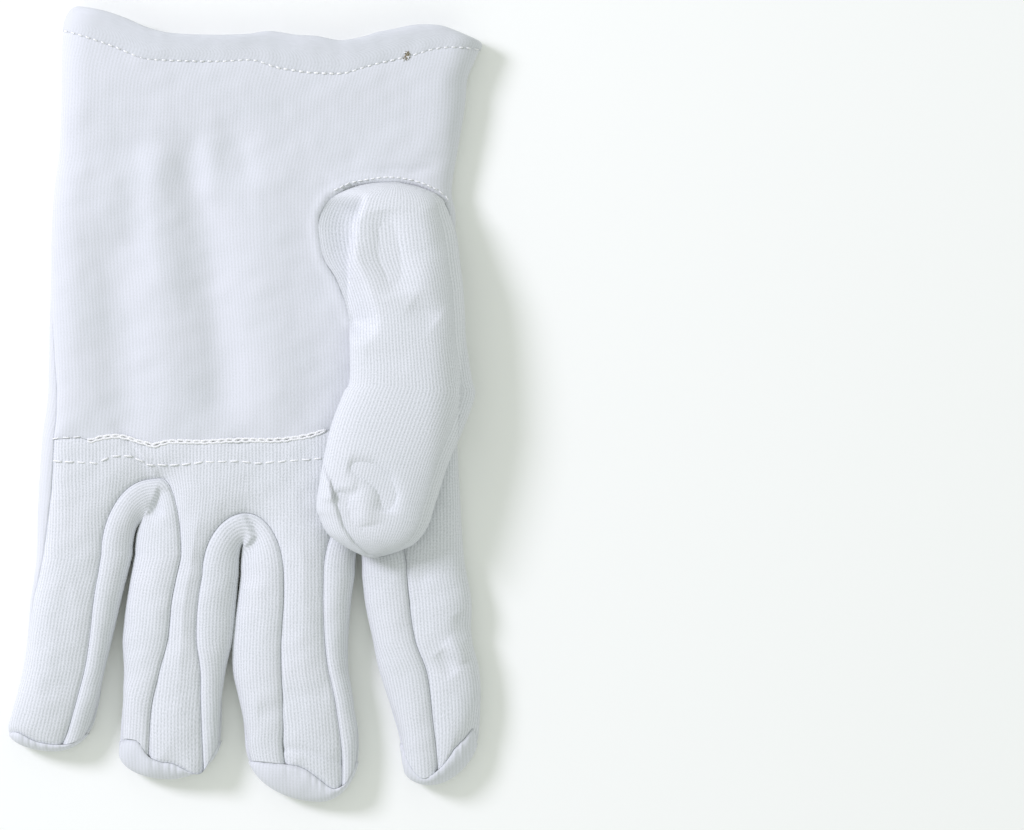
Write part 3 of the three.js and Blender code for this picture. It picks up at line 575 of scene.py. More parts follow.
def waveKnuckles(places):
    waved = places.copy()
    share = np.exp(-(places[:, 1] / 11) ** 2) * smooth((places[:, 2] - 2) / 4)
    waved[:, 1] += share * read(knuckleWave, "x", "rise", places[:, 0])
    return waved


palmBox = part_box("palm")
plainRows = [plainPalm(y) for y in np.linspace(0, hand["palmLength"], 80)]
palmRight = float(max(middle + width / 2 for middle, width in plainRows))
shift = (palmBox[1][0] * 1000 - palmRight, palmBox[0][1] * 1000 - hand["cadSeamGap"] / 2)
print("shift into the frame", shift)


def toFrame(places):
    return (places + np.array([shift[0], shift[1], 0])) / 1000


def makeMesh(name, places, faces, flat=None):
    mesh = bpy.data.meshes.new(name)
    mesh.from_pydata([tuple(p) for p in toFrame(places)], [], faces)
    mesh.update()
    if flat is not None:
        layer = mesh.uv_layers.new(name="flatCloth")
        loops = np.empty(len(mesh.loops), int)
        mesh.loops.foreach_get("vertex_index", loops)
        layer.data.foreach_set("uv", np.ascontiguousarray(flat[loops], float).ravel())
    for face in mesh.polygons:
        face.use_smooth = True
    piece = bpy.data.objects.new(name, mesh)
    bpy.context.scene.collection.objects.link(piece)
    return piece


crumple = {
    "seed": 41, "waves": 26, "longWaves": 16, "longStart": 5.0, "growth": 1.12,
    "short": (4.0, 9.0), "rise": 0.0034, "power": 0.8,
}


def makeCrumples():
    # soft unevenness of worn cotton: many faint waves, the longer the higher
    dice = random.Random(crumple["seed"])
    waves = []
    for k in range(crumple["waves"]):
        length = crumple["longStart"] * crumple["growth"] ** k
        if k >= crumple["longWaves"]:
            length = dice.uniform(*crumple["short"])
        heading = dice.uniform(0, math.pi)
        waves.append((math.cos(heading) * 2 * math.pi / length,
                      math.sin(heading) * 2 * math.pi / length,
                      dice.uniform(0, 2 * math.pi), crumple["rise"] * length ** crumple["power"]))
    return waves


crumples = makeCrumples()


def crumpleHeight(x, y):
    return sum(size * np.sin(kx * x + ky * y + start) for kx, ky, start, size in crumples)


def clothPiece(name, cloth, relief=None):
    # outer side, inner side and the rim between them, as one closed piece
    outer, inner, flat, sink = map(np.array, (cloth.outer, cloth.inner, cloth.flat, cloth.seam))
    into = inner - outer
    into = into / np.maximum(np.linalg.norm(into, axis=1, keepdims=True), 1e-9)
    if relief is not None:
        sink = sink - relief(*outer.T)
    sink = sink - crumpleHeight(outer[:, 0], outer[:, 1]) * smooth(outer[:, 2] / 5 - 0.6)
    outer = outer + into * sink[:, None]
    inner = inner + into * (sink * 0.9)[:, None]
    outer, inner = waveCuff(waveKnuckles(outer)), waveCuff(waveKnuckles(inner))
    count = len(outer)
    faces = [list(map(int, quad)) for quad in cloth.quads]
    edges = {(quad[k - 1], quad[k]) for quad in faces for k in range(len(quad))}
    closed = faces + [[v + count for v in quad[::-1]] for quad in faces]
    closed += [[b, a, a + count, b + count] for a, b in edges if (b, a) not in edges]
    return makeMesh(name, np.concatenate([outer, inner]), closed, np.concatenate([flat, flat]))


def palmSplit(i, y):
    left, right = palmEdges(y)
    middle = (knuckles[i][1] + knuckles[i + 1][0]) / 2
    return float(lerp(left, right, (middle - knuckles[0][0]) / handWidth))


# Fineness of the cloth's grids
fine = {
    "palmAcross": 100, "palmRows": 92, "strip": [32, 32, 38, 38], "knuckleRows": 22,
    "archRows": 44, "legRows": 70, "sideAcross": 26, "backStrip": [20, 18, 20, 20], "tipRows": 18,
}


def spacedRows(start, end, count, nearStart, nearEnd):
    # rows from start to end, closer together beside a seam
    length = abs(end - start)
    places = acrossPlaces(length, count, nearStart, nearEnd)
    return start + (end - start) * places / length


def edgeDistance(at, length, leftSeam, rightSeam):
    # how far places lie from the seams at the ends of their rows
    far = np.full(at.shape, 50.0)
    if leftSeam:
        far = np.minimum(far, at)
    if rightSeam:
        far = np.minimum(far, length[:, None] - at)
    return far


# Seam that joins the thumb to the palm, from the crook of the thumb up and round to the side
thumbSeam = [
    (28.8, 32.5), (27.4, 36.1), (26.0, 40.7), (24.3, 44.9), (22.3, 48.0), (20.6, 51.1),
    (20.0, 55.3), (19.2, 59.0), (19.5, 62.4), (20.9, 65.2), (22.3, 67.8), (24.8, 69.2),
    (28.5, 71.0), (32.7, 71.8), (37.3, 72.5), (41.5, 72.5), (45.7, 71.7), (48.6, 70.8),
    (52.2, 69.2), (54.5, 67.5), (55.9, 64.4), (57.0, 61.5), (58.4, 57.5),
]

palmCreases = [
    {"line": [(35.5, 74.5), (40, 75.6), (44, 76.2)], "spread": 0.9, "rise": -0.55},
    {"line": [(43, 74.6), (48, 75.9), (53, 76.6)], "spread": 0.9, "rise": -0.6},
    {"line": [(47, 78.6), (53, 78.9), (57, 79.2)], "spread": 1.6, "rise": -0.4},
    {"line": [(21.6, 73.2), (24.8, 71.5), (26.4, 69.3)], "spread": 1.1, "tuck": 0.8},
    {"line": [(-39, 3.5), (-36, 1.2), (-33.5, -0.5)], "spread": 1.8, "rise": -0.5},
]


def palmRelief(x, y, z):
    height = creaseHeight(palmCreases, x, y)
    # the palm's cloth stands up in a ridge round the thumb's seam
    away, side, share = nearLine(thumbSeam, x, y)
    outside = side > 0
    upper = smooth((share - 0.02) / 0.3)
    ridge = np.exp(-((away - 1.1) / 1.1) ** 2) * lerp(0.35, 0.8, upper)
    return height + np.where(outside, ridge, 0)


def buildPalm():
    cloth = Cloth()
    gap = hand["seamGap"] / 2
    heights = spacedRows(hand["palmLength"] - gap, gap, fine["palmRows"], True, True)
    rows = []
    for y in heights:
        left, right = sideRim(y, "Left"), sideRim(y, "Right")
        x = np.linspace(left["x"] + left["reach"], right["x"] - right["reach"], 160)[1:-1]
        rows.append(cutLine(joinLines(
            frontEdge(left, "Left"), flatLine(x, y, topHeight(x, y)), frontEdge(right, "Right")),
            fine["palmAcross"]))
    outer, inner, at, length = columnsOf(rows)
    heights = np.broadcast_to(heights[:, None], at.shape)
    flat = np.stack([at - length[:, None] / 2, outer[:, :, 1]], -1)
    dip, hole = thumbOpening(outer[:, :, 0], outer[:, :, 1])
    seam = np.max([
        rolledDepth(edgeDistance(at, length, True, True), "side"), rolledDepth(heights, "knuckle"),
        rolledDepth(hand["palmLength"] - heights, "hem"), dip], axis=0)
    cloth.addStrip(outer, inner, flat, seam, hole=hole)
    return clothPiece("palmPanel", cloth, palmRelief)


def seamEnd(i, side, turn, leg, clearance=hand["seamGap"] / 2):
    rim = gapRim(i, side, turn, leg)
    reach = rim["reach"] + clearance
    return {"x": rim["x"] + rim["way"][0] * reach, "y": rim["y"] + rim["way"][1] * reach}


def sideRowY(crotch, start, y, turn, leg):
    # rows beside an arch go down the hand's side in even steps
    if leg > 0 or turn >= 1:
        return y
    top = crotches[crotch][start]
    if start == "top":
        top = top - hand["edgeHeight"] - hand["seamGap"] / 2
    return lerp(-top, -crotches[crotch]["foot"], turn)


def rowEnds(i, turn, leg, gapEnd, start):
    # ends of a row over finger i, beside a gap or at the hand's side
    left = gapEnd(i, "Left", turn, leg) if i > 0 else None
    right = gapEnd(i, "Right", turn, leg) if i < 3 else None
    if left is None:
        left = sideRim(sideRowY(0, start, right["y"], turn, leg), "Left")
    if right is None:
        right = sideRim(sideRowY(2, start, left["y"], turn, leg), "Right")
    return left, right


def frontEnds(i, turn, leg):
    return rowEnds(i, turn, leg, seamEnd, "apex")


def knuckleEnds(i, s, top, first):
    # ends of a row between the knuckle seam and the first row beside a gap
    ends = []
    for number, side, end in ((i - 1, "Left", first[0]), (i, "Right", first[1])):
        y = lerp(top, end["y"], s)
        if 0 <= number <= 2:
            ends.append({"x": lerp(palmSplit(number, 0), end["x"], s), "y": y})
        else:
            ends.append(sideRim(y, side))
    return ends


def tipShare(leg):
    # how much a row down a finger follows its tip seam
    return float(smooth((leg - 0.55) / 0.45))


def fingerStations():
    arch = [(float(turn), 0.0) for turn in np.linspace(0, 1, fine["archRows"])]
    share = spacedRows(0, 60, fine["legRows"], False, True) / 60
    return arch + [(1.0, float(leg)) for leg in share[1:]]


stations = fingerStations()
crotchSeams = []
for number in range(3):
    down = [seamEnd(number, "Right", turn, leg, 0) for turn, leg in stations]
    up = [seamEnd(number + 1, "Left", turn, leg, 0) for turn, leg in stations]
    crotchSeams.append([(p["x"], p["y"]) for p in down[::-1] + up[1:]])

# Curve of each tip seam: how far it stands above its straight line, across the finger
tipCurves = {
    "little": {"across": [-1.0, -0.7, -0.35, 0.0, 0.3, 0.6, 1.0],
               "rise": [1.0, 0.5, -1.6, -2.6, -2.8, -2.4, 0.0]},
    "ring": {"across": [-1.0, -0.6, -0.5, -0.42, -0.18, 0.06, 0.28, 0.48, 0.64, 0.8, 0.92, 1.0],
             "rise": [1.1, 0.4, -2.0, -3.7, -5.4, -5.9, -7.4, -8.8, -8.4, -5.0, -1.5, 0.0]},
    "middle": {"across": [-1.0, -0.69, -0.41, -0.11, 0.06, 0.24, 0.44, 0.56, 0.78, 0.89, 1.0],
               "rise": [0.4, 0.1, -0.4, -1.0, -2.1, -4.1, -6.6, -7.5, -5.8, -2.7, 0.0]},
    "index": {"across": [-1.0, -0.8, -0.58, -0.39, -0.19, 0.17, 0.42, 0.75, 1.0],
              "rise": [0.0, -4.4, -8.2, -9.6, -8.8, -5.1, -1.1, 2.8, 7.9]},
}


def bendTip(i, places, share):
    # bends the rows near a tip seam to the seam's own curve
    left, right = fingerEdges(i, tipSeam(i))
    across = np.clip((places[..., 0] - (left + right) / 2) / ((right - left) / 2), -1, 1)
    onTop = smooth((places[..., 2] - hand["edgeHeight"]) / 3.5)
    bent = places.copy()
    curve = tipCurves[fingers[i]["name"]]
    bent[..., 1] += share * onTop * read(curve, "across", "rise", across)
    return bent


fingerCreases = [
    {"line": [(-35.3, 0.5), (-32, -2), (-29.6, -6), (-26.5, -11)], "spread": 1.3, "tuck": 0.9},
    {"line": [(-35.3, 0.5), (-32, -2), (-29.6, -6), (-26.5, -11)], "spread": 3.0, "rise": -0.6},
    {"line": [(8.2, -88.6), (13.8, -88.6), (17.2, -89.5), (21.7, -90.9), (26.8, -93.2)],
     "spread": 1.6, "tuck": -1.0, "open": True},
    {"line": [(55.6, -57.0), (61.0, -63.0)], "spread": 2.2, "rise": 1.1},
    {"line": [(53.0, -61.0), (58.0, -66.5)], "spread": 2.6, "rise": -1.0},
    {"line": [(58.5, -50.0), (62.0, -56.0)], "spread": 2.4, "rise": -0.7},
    {"line": [(10, -72), (22, -73)], "spread": 3.2, "rise": -0.5},
    {"line": [(49, -36), (47, -48)], "spread": 3.0, "rise": -0.7},
    {"line": [(-40, -60), (-47, -78)], "spread": 4.0, "rise": 0.4},
]


def fingerRelief(x, y, z):
    return creaseHeight(fingerCreases, x, y)


def knitPlaces(outer, at):
    # places in the flat cloth: columns of knit run straight down the hand, then along the finger
    middle = outer.shape[1] // 2
    centre = outer[:, middle, 0].copy()
    foot = len(outer) - len(stations) + fine["archRows"]
    centre[foot:] = centre[foot]
    return np.stack([at - at[:, middle:middle + 1] + centre[:, None], outer[:, :, 1]], -1)


def buildFingerFront():
    cloth = Cloth()
    for i in range(4):
        first = frontEnds(i, 0.0, 0.0)
        shares = spacedRows(0, 20, fine["knuckleRows"], True, False) / 20
        rows = [frontLine(i, *knuckleEnds(i, s, -hand["seamGap"] / 2, first)) for s in shares]
        bend = [0.0] * len(rows)
        for turn, leg in stations[1:]:
            left, right = frontEnds(i, turn, leg)
            sag = 0.0
            if i in (1, 2) and leg == 0:
                # keeps the rows beside an arch apart
                even = lerp(first[0]["y"] + first[1]["y"],
                            -crotches[i - 1]["foot"] - crotches[i]["foot"], turn)
                sag = 0.25 * (left["y"] + right["y"] - even)
            rows.append(frontLine(i, left, right, sag))
            bend.append(tipShare(leg))
        outer, inner, at, length = columnsOf(rows)
        x, y = outer[:, :, 0], outer[:, :, 1]
        seam = np.max([rolledDepth(distanceTo(points, x, y), "gap") for points in crotchSeams] + [
            rolledDepth(edgeDistance(at, length, i == 0, i == 3), "fingerSide"),
            rolledDepth(np.abs(y), "knuckle"), rolledDepth(np.abs(y - tipSeam(i)), "tip")], axis=0)
        bend = np.array(bend)[:, None]
        cloth.addStrip(
            bendTip(i, outer, bend), bendTip(i, inner, bend), knitPlaces(outer, at), seam)
    return clothPiece("fingerFront", cloth, fingerRelief)


def backSeamAngle(leg):
    return float(lerp(-90, 0, smooth((leg - 0.15) / 0.85)))


sideCreases = [
    {"line": [(-26.3, -13.8), (-26.6, -16.1), (-28.2, -19.5), (-28.8, -21.5), (-30.6, -22.5)],
     "spread": 3.2, "tuck": -2.4, "edge": 0.3},
    {"line": [(-28.9, -22.3), (-27.0, -22.0), (-24.8, -21.8)], "spread": 2.2, "tuck": -1.6,
     "edge": 0.3},
    {"line": [(-1.9, -21.2), (0.0, -25.5), (0.6, -28.5), (-0.6, -30.4), (-2.8, -31.9),
              (-3.1, -35.3), (-3.4, -42.0)], "spread": 3.6, "tuck": -2.6, "edge": 0.3},
    {"line": [(2.0, -77.0), (9.5, -77.5)], "spread": 2.6, "rise": -0.7},
]


def sideRelief(x, y, z):
    return creaseHeight(sideCreases, x, y) * smooth((z - 5) / 3)


def buildFourchette(i, name):
    # side strip of two neighbouring fingers, round the crotch between them
    cloth = Cloth()

    def row(finger, side, turn, leg):
        rim = gapRim(finger, side, turn, leg)
        rim["reach"] -= hand["seamGap"] / 2
        low = backSeamAngle(leg)
        line = edgeLine(rim, 90, low + gapAngle(rim, low), 30)
        outer, inner, at, length = cutLine(line, fine["sideAcross"])
        return (bendTip(finger, outer, tipShare(leg)), bendTip(finger, inner, tipShare(leg)),
                at, length)

    down = [row(i, "Right", turn, leg) for turn, leg in stations]
    up = [row(i + 1, "Left", turn, leg) for turn, leg in stations]
    outer, inner, at, length = columnsOf(up[:0:-1] + down)
    seam = rolledDepth(edgeDistance(at, length, True, True), "strip")
    along = np.broadcast_to(pathLengths(outer[:, 8])[:, None], at.shape)
    cloth.addStrip(outer, inner, np.stack([at + 200 + 30 * i, along], -1), seam)
    return clothPiece(name, cloth, sideRelief)


def backEnd(i, side, turn, leg):
    rim = gapRim(i, side, turn, leg)
    angle = backSeamAngle(leg)
    if angle > -90:
        return dict(rim, angle=angle)
    inward = hand["edgeHeight"] + hand["seamGap"] / 2
    return {"x": rim["x"] + rim["way"][0] * inward, "y": rim["y"] + rim["way"][1] * inward}


def tipLoop(i):
    # places round the upper half of a finger at its tip seam, from side to side
    parts = [frontLine(i, *frontEnds(i, 1.0, 1.0))[:2]]
    if i > 0:
        parts.insert(0, edgeLine(gapRim(i, "Left", 1.0, 1.0), 0, 82.5, 12))
    if i < 3:
        parts.append(edgeLine(gapRim(i, "Right", 1.0, 1.0), 82.5, 0, 12))
    return joinLines(*parts)


def tipOutline(i, x):
    # how far down the finger's outline lies at each x, below its tip seam
    y = np.linspace(tipSeam(i), -fingers[i]["reach"], 80)
    edges = np.array([fingerEdges(i, at) for at in y])
    left = np.maximum.accumulate(edges[:, 0])
    right = np.minimum.accumulate(edges[:, 1])
    low = edges[-1, 0]
    return np.where(x < low, np.interp(x, left, y), np.interp(x, right[::-1], y[::-1]))


def tipRows(i, lastBack):
    # back cloth that curls round a fingertip and up to the tip seam
    seamY = tipSeam(i)
    low = fingerEdges(i, -fingers[i]["reach"])[0]
    loop = tipLoop(i)
    edge = hand["edgeHeight"]
    gap = hand["seamGap"]
    corners = (lastBack[0][0], lastBack[0][-1])
    rows = []
    for s in np.linspace(0, 1, fine["tipRows"]):
        row = []
        for places, deep in ((loop[0], 0), (loop[1], hand["clothThickness"])):
            bent = bendTip(i, places, 1.0)
            outline = tipOutline(i, places[:, 0]) + deep
            tipY = np.minimum(outline, bent[:, 1] - gap - 0.1)
            a = s * math.pi
            y = lerp(lerp(bent[:, 1], seamY, smooth((s - 0.5) * 2)) - gap, tipY, math.sin(a))
            side = np.where(places[:, 0] < low, corners[0][0], corners[1][0])
            inset = np.abs(places[:, 0] - side) + 0.05 - deep
            arc = np.minimum(np.arccos(np.clip(1 - inset / edge, -1, 1)), math.pi / 2)
            low = (edge - deep) * np.sin(arc)
            rise = np.where(math.cos(a) > 0, places[:, 2] - edge, low)
            row.append(np.stack([places[:, 0], y, edge + rise * math.cos(a)], -1))
        row[0][0], row[1][0] = lastBack[0][0], lastBack[1][0]
        row[0][-1], row[1][-1] = lastBack[0][-1], lastBack[1][-1]
        rows.append(row)
    return rows


def buildBack():
    cloth = Cloth()
    heights = spacedRows(
        hand["palmLength"] - hand["seamGap"] / 2, 0, fine["palmRows"], True, False)
    for i in range(4):
        rows = []
        for y in heights:
            left = {"x": palmSplit(i - 1, y), "y": y} if i > 0 else sideRim(y, "Left")
            right = {"x": palmSplit(i, y), "y": y} if i < 3 else sideRim(y, "Right")
            rows.append(backLine(i, left, right))
        first = rowEnds(i, 0.0, 0.0, backEnd, "top")
        for s in np.linspace(0, 1, fine["knuckleRows"])[1:]:
            rows.append(backLine(i, *knuckleEnds(i, s, 0, first)))
        palmEnd = len(rows)
        rows += [backLine(i, *rowEnds(i, turn, leg, backEnd, "top")) for turn, leg in stations[1:]]
        outer, inner, at, length = columnsOf(rows)
        away = np.concatenate([
            edgeDistance(at[:palmEnd], length[:palmEnd], i == 0, i == 3),
            edgeDistance(at[palmEnd:], length[palmEnd:], True, True)])
        ids = cloth.addStrip(
            outer, inner, knitPlaces(outer, at), rolledDepth(away, "back"), turned=True)
        tipOuter, tipInner = columnsOf(tipRows(i, (outer[-1], inner[-1])))
        x = tipOuter[:, :, 0]
        down = np.array([pathLengths(tipOuter[:, c]) for c in range(tipOuter.shape[1])]).T
        gather = np.sin(x * 2.7 + 1.3 * np.sin(x * 0.9 + i))
        seam = rolledDepth(down, "curl") + 0.16 * gather * np.exp(-(down / 2.6) ** 2)
        flat = np.stack([x - x[0].mean() + 40 * i + 400, tipOuter[0, :, 1][None, :] - down], -1)
        zipRows(cloth, cloth.addStrip(tipOuter, tipInner, flat, seam)[-1], ids[-1])
    return clothPiece("backPanel", cloth)


def zipRows(cloth, upper, lower):
    # faces between two rows that hold different numbers of places
    u, l = 0, 0
    while u < len(upper) - 1 or l < len(lower) - 1:
        upperNext = (u + 1) / (len(upper) - 1)
        lowerNext = (l + 1) / (len(lower) - 1)
        if l == len(lower) - 1 or (u < len(upper) - 1 and upperNext <= lowerNext):
            cloth.addFace([int(upper[u]), int(lower[l]), int(upper[u + 1])])
            u += 1
        else:
            cloth.addFace([int(upper[u]), int(lower[l]), int(lower[l + 1])])
            l += 1


def buildHem():
    cloth = Cloth()
    thick = hem["thickness"]
    rows = []
    for s in np.linspace(0, 1, hem["acrossRows"]):
        y = hand["palmLength"] + lerp(-0.04, hem["depth"], s)
        left, right = sideRim(y, "Left"), sideRim(y, "Right")
        x = np.linspace(left["x"] + left["reach"], right["x"] - right["reach"], 120)[1:-1]
        under = np.linspace(
            right["x"] - hand["edgeHeight"], left["x"] + hand["edgeHeight"], 60)[1:-1]
        outer, inner = joinLines(
            edgeLine(left, -90, 90, 22, thick), flatLine(x, y, topHeight(x, y), 1, thick),
            edgeLine(right, 90, -90, 22, thick), flatLine(under, y, 0.0, -1, thick))
        # the turned edge is rounded over towards the cuff's mouth
        over = max(0, (s - 0.72) / 0.28)
        squeeze = 0.9 * (1 - math.sqrt(max(1 - over ** 2, 0)))
        into = (inner - outer) / thick
        rows.append((outer + into * squeeze, inner - into * squeeze))
    outer, inner = columnsOf(rows)
    outer = np.concatenate([outer, outer[:, :1]], axis=1)[:, ::-1]
    inner = np.concatenate([inner, inner[:, :1]], axis=1)[:, ::-1]
    at = np.array([pathLengths(row) for row in outer])
    seam = rolledDepth(outer[:, :, 1] - hand["palmLength"], "hem")
    seam = seam * (outer[:, :, 2] > hand["edgeHeight"])
    cloth.addStrip(outer, inner, np.stack([at + 700, outer[:, :, 1]], -1), seam)
    return clothPiece("cuffHem", cloth)


# Outline of the folded thumb from the seam at its base to its tip: a place on the left and
# one on the right, with the height of the thumb there
thumb = {
    "height": 12.5,
    "thickness": 1.2,
    "clearance": 0.5,
    "gussetDepth": 2.4,
    "lowShare": 0.38,
    "crookRise": 8.5,
    "topRise": 9.0,
    "rows": {
        "at": [0, 1, 2, 3, 4, 5, 6, 7, 8, 9, 10, 11, 12, 13, 14, 15, 16, 17, 18],
        "leftX": [41.5, 32.7, 24.8, 20.9, 19.2, 20.6, 24.3, 27.4, 28.2, 28.2, 26.5, 22.9, 20.6,
                  18.9, 19.8, 22.0, 26.8, 31.6, 33.9],
        "leftY": [72.3, 71.7, 68.9, 65.2, 59.0, 51.1, 44.9, 36.1, 27.7, 16.1, 12.7, 3.1, -7.6,
                  -18.6, -22.3, -26.8, -30.5, -33.0, -33.6],
        "rightX": [41.5, 48.6, 54.5, 57.0, 58.4, 59.3, 60.1, 60.7, 61.0, 62.7, 63.5, 60.1, 56.2,
                   52.5, 50.3, 46.9, 42.1, 36.7, 33.9],
        "rightY": [72.3, 70.6, 67.5, 61.5, 57.0, 49.7, 43.2, 34.7, 27.7, 16.4, 11.9, 2.3, -6.8,
                   -18.1, -24.8, -29.4, -31.9, -33.6, -33.6],
        "height": [0.12, 0.34, 0.5, 0.62, 0.72, 0.82, 0.9, 0.95, 1.0, 1.0, 1.0, 1.0, 1.0,
                   1.0, 0.96, 0.88, 0.72, 0.5, 0.3],
    },
    "around": 150,
    "along": 210,
}


def floorHeight(x, y):
    # height of the hand under the thumb, with its rounded side
    right = np.where(y >= 0, palmEdges(np.maximum(y, 0))[1], handEdges(np.minimum(y, 0))[3][1])
    inset = np.clip((right - x) / hand["sideRound"], 0, 1)
    top = topHeight(x, y)
    edge = hand["edgeHeight"]
    return edge + (top - edge) * np.sqrt(np.clip(1 - (1 - inset) ** 2, 0, 1))


def thumbSurface(at, turn, depth):
    # a place on the thumb: at runs from base to tip, turn goes once round from the right
    rows = thumb["rows"]
    lx, ly = read(rows, "at", "leftX", at), read(rows, "at", "leftY", at)
    rx, ry = read(rows, "at", "rightX", at), read(rows, "at", "rightY", at)
    height = thumb["height"] * read(rows, "at", "height", at)
    midX, midY = (lx + rx) / 2, (ly + ry) / 2
    halfX, halfY = (rx - lx) / 2, (ry - ly) / 2
    half = np.maximum(np.hypot(halfX, halfY), 1e-6)
    share = np.maximum(half - depth, 0.02) / half
    a = turn * 2 * np.pi
    cos = np.sign(np.cos(a)) * np.abs(np.cos(a)) ** 0.85
    x = midX + halfX * share * cos
    y = midY + halfY * share * cos
    floor = floorHeight(x, y) + thumb["clearance"]
    edge = height * thumb["lowShare"]
    sin = np.sin(a)
    above = np.maximum(height - edge - depth, 0.02) * np.abs(sin) ** 0.85
    below = np.maximum(edge - depth, 0.02) * np.abs(sin) ** 0.6
    z = floor + edge + np.where(sin > 0, above, -below)
    if depth == 0:
        z = z + np.where(sin > 0, creaseHeight(thumbCreases, x, y), 0)
    # the cloth comes up out of the seam, gently in the crook and roundly at the top
    sunk = floor - thumb["gussetDepth"] + np.where(sin > 0, -depth, depth - 2.6)
    z = lerp(z, sunk, 0.95 * gussetShare(x, y))
    away, side, share = nearLine(thumbSeam, x, y)
    crook = 1 - smooth((share - 0.3) / 0.22)
    rise = np.sqrt(np.clip(1 - (1 - np.clip(away / thumb["topRise"], 0, 1)) ** 2, 0, 1))
    rise = lerp(rise, smooth(away / thumb["crookRise"]), crook)
    free = smooth((33.5 - y) / 9)
    rise = lerp(rise, 1.0, free)
    return np.stack([x, y, lerp(floor - 0.1 - depth * 0.8, z, np.clip(rise, 0.02, 1))], -1)


thumbCreases = [
    {"line": [(38.0, 64.0), (39.5, 52.0), (42.0, 40.0)], "spread": 4.2, "rise": -1.9},
    {"line": [(46, 38), (53, 33)], "spread": 3.5, "rise": -0.9},
    {"line": [(30.5, 56), (30, 44), (31, 24)], "spread": 2.4, "rise": 0.7},
    {"line": [(50, 52), (49, 36)], "spread": 4.0, "rise": 0.7},
    {"line": [(33, 24), (45, 21)], "spread": 3.2, "rise": -0.5},
    {"line": [(20.0, -17.6), (23.7, -17.4), (24.9, -15.2), (27.6, -14.5), (30.2, -15.0)],
     "spread": 3.0, "tuck": 1.5, "edge": 0.3},
    {"line": [(24.3, -16.9), (25.1, -19.2), (26.8, -24.6), (29.9, -29.3), (33.6, -32.5),
              (36.5, -33.5)], "spread": 4.5, "tuck": -2.8, "edge": 0.35, "open": True},
    {"line": [(28.0, -7.6), (34.0, -9.2), (37.8, -12.4), (39.3, -15.6), (38.6, -21.0)],
     "spread": 2.5, "rise": -3.0},
    {"line": [(30.0, -15.5), (32.5, -19.5), (33.5, -24.5)], "spread": 3.4, "rise": 1.5},
]


# The flat part beside the palm, left of a ridge down the thumb
gussetLine = [(28.3, 31.0), (28.9, 39.0), (29.4, 50.2), (30.6, 60.1), (34.0, 69.5)]


def gussetShare(x, y):
    away, side, share = nearLine(gussetLine, x, y)
    inside = smooth(side * away / 1.5)
    return inside * smooth(share / 0.12) * (1 - smooth((share - 0.8) / 0.2))


# The opening in the palm that the thumb is sewn into, and the dip of the palm beside it
opening = {"low": 38, "high": 70, "right": 50, "inset": 1.0, "dip": 0.9, "dipHigh": 72}


def thumbOpening(x, y):
    # how deep the palm dips under the thumb's cloth, and where it is cut out
    away, side, share = nearLine(thumbSeam, x, y)
    under = (side < 0) & (y > opening["low"]) & (x < opening["right"])
    dip = opening["dip"] * smooth(away / opening["dip"])
    return (np.where(under & (y < opening["dipHigh"]), dip, 0),
            under & (away > opening["inset"]) & (y < opening["high"]))


def buildThumb():
    along, around = thumb["along"], thumb["around"]
    turn = (np.arange(around) / around)[None, :]
    last = thumb["rows"]["at"][-1]
    outer, inner = [
        thumbSurface(np.linspace(inset, last - inset, along)[:, None], turn, depth)
        for inset, depth in ((0.02, 0), (0.25, thumb["thickness"]))]
    places, faces = [], []
    for side, grid in enumerate((outer, inner)):
        start = side * (along * around + 2)
        places += [grid.reshape(-1, 3), grid[0].mean(axis=0)[None], grid[-1].mean(axis=0)[None]]
        for r in range(1, along):
            for c in range(around):
                a = start + (r - 1) * around + c
                b = start + (r - 1) * around + (c + 1) % around
                quad = [a, b, b + around, a + around]
                faces.append(quad if side == 0 else quad[::-1])
        for row, centre in ((0, start + along * around), (along - 1, start + along * around + 1)):
            for c in range(around):
                a = start + row * around + c
                b = start + row * around + (c + 1) % around
                face = [centre, b, a] if row == 0 else [centre, a, b]
                faces.append(face if side == 0 else face[::-1])
    down = pathLengths(outer[:, around // 4])
    u = np.broadcast_to(pathLengths(outer[along // 2])[None, :], (along, around)) + 900
    v = np.broadcast_to(-down[:, None], (along, around))
    flat = np.stack([u, v], -1).reshape(-1, 2)
    ends = np.array([[900, 0], [900, -down[-1]]], float)
    flat = np.concatenate([flat, ends, flat, ends])
    return makeMesh("foldedThumb", np.concatenate(places), faces, flat)


print("building the palm and the fingers")
pieces = [(buildPalm(), "palm", "cotton_knit"), (buildFingerFront(), "finger_front", "cotton_knit")]
for number, (name, node) in enumerate((
        ("littleRingSide", "fourchette_little_ring"), ("ringMiddleSide", "fourchette_ring_middle"),
        ("middleIndexSide", "fourchette_middle_index"))):
    pieces.append((buildFourchette(number, name), node, "cotton_knit"))
print("building the back, the hem and the thumb")
pieces.append((buildBack(), "back", "cotton_knit"))
pieces.append((buildHem(), "cuff_hem", "hem_knit"))
pieces.append((buildThumb(), "thumb", "cotton_knit"))


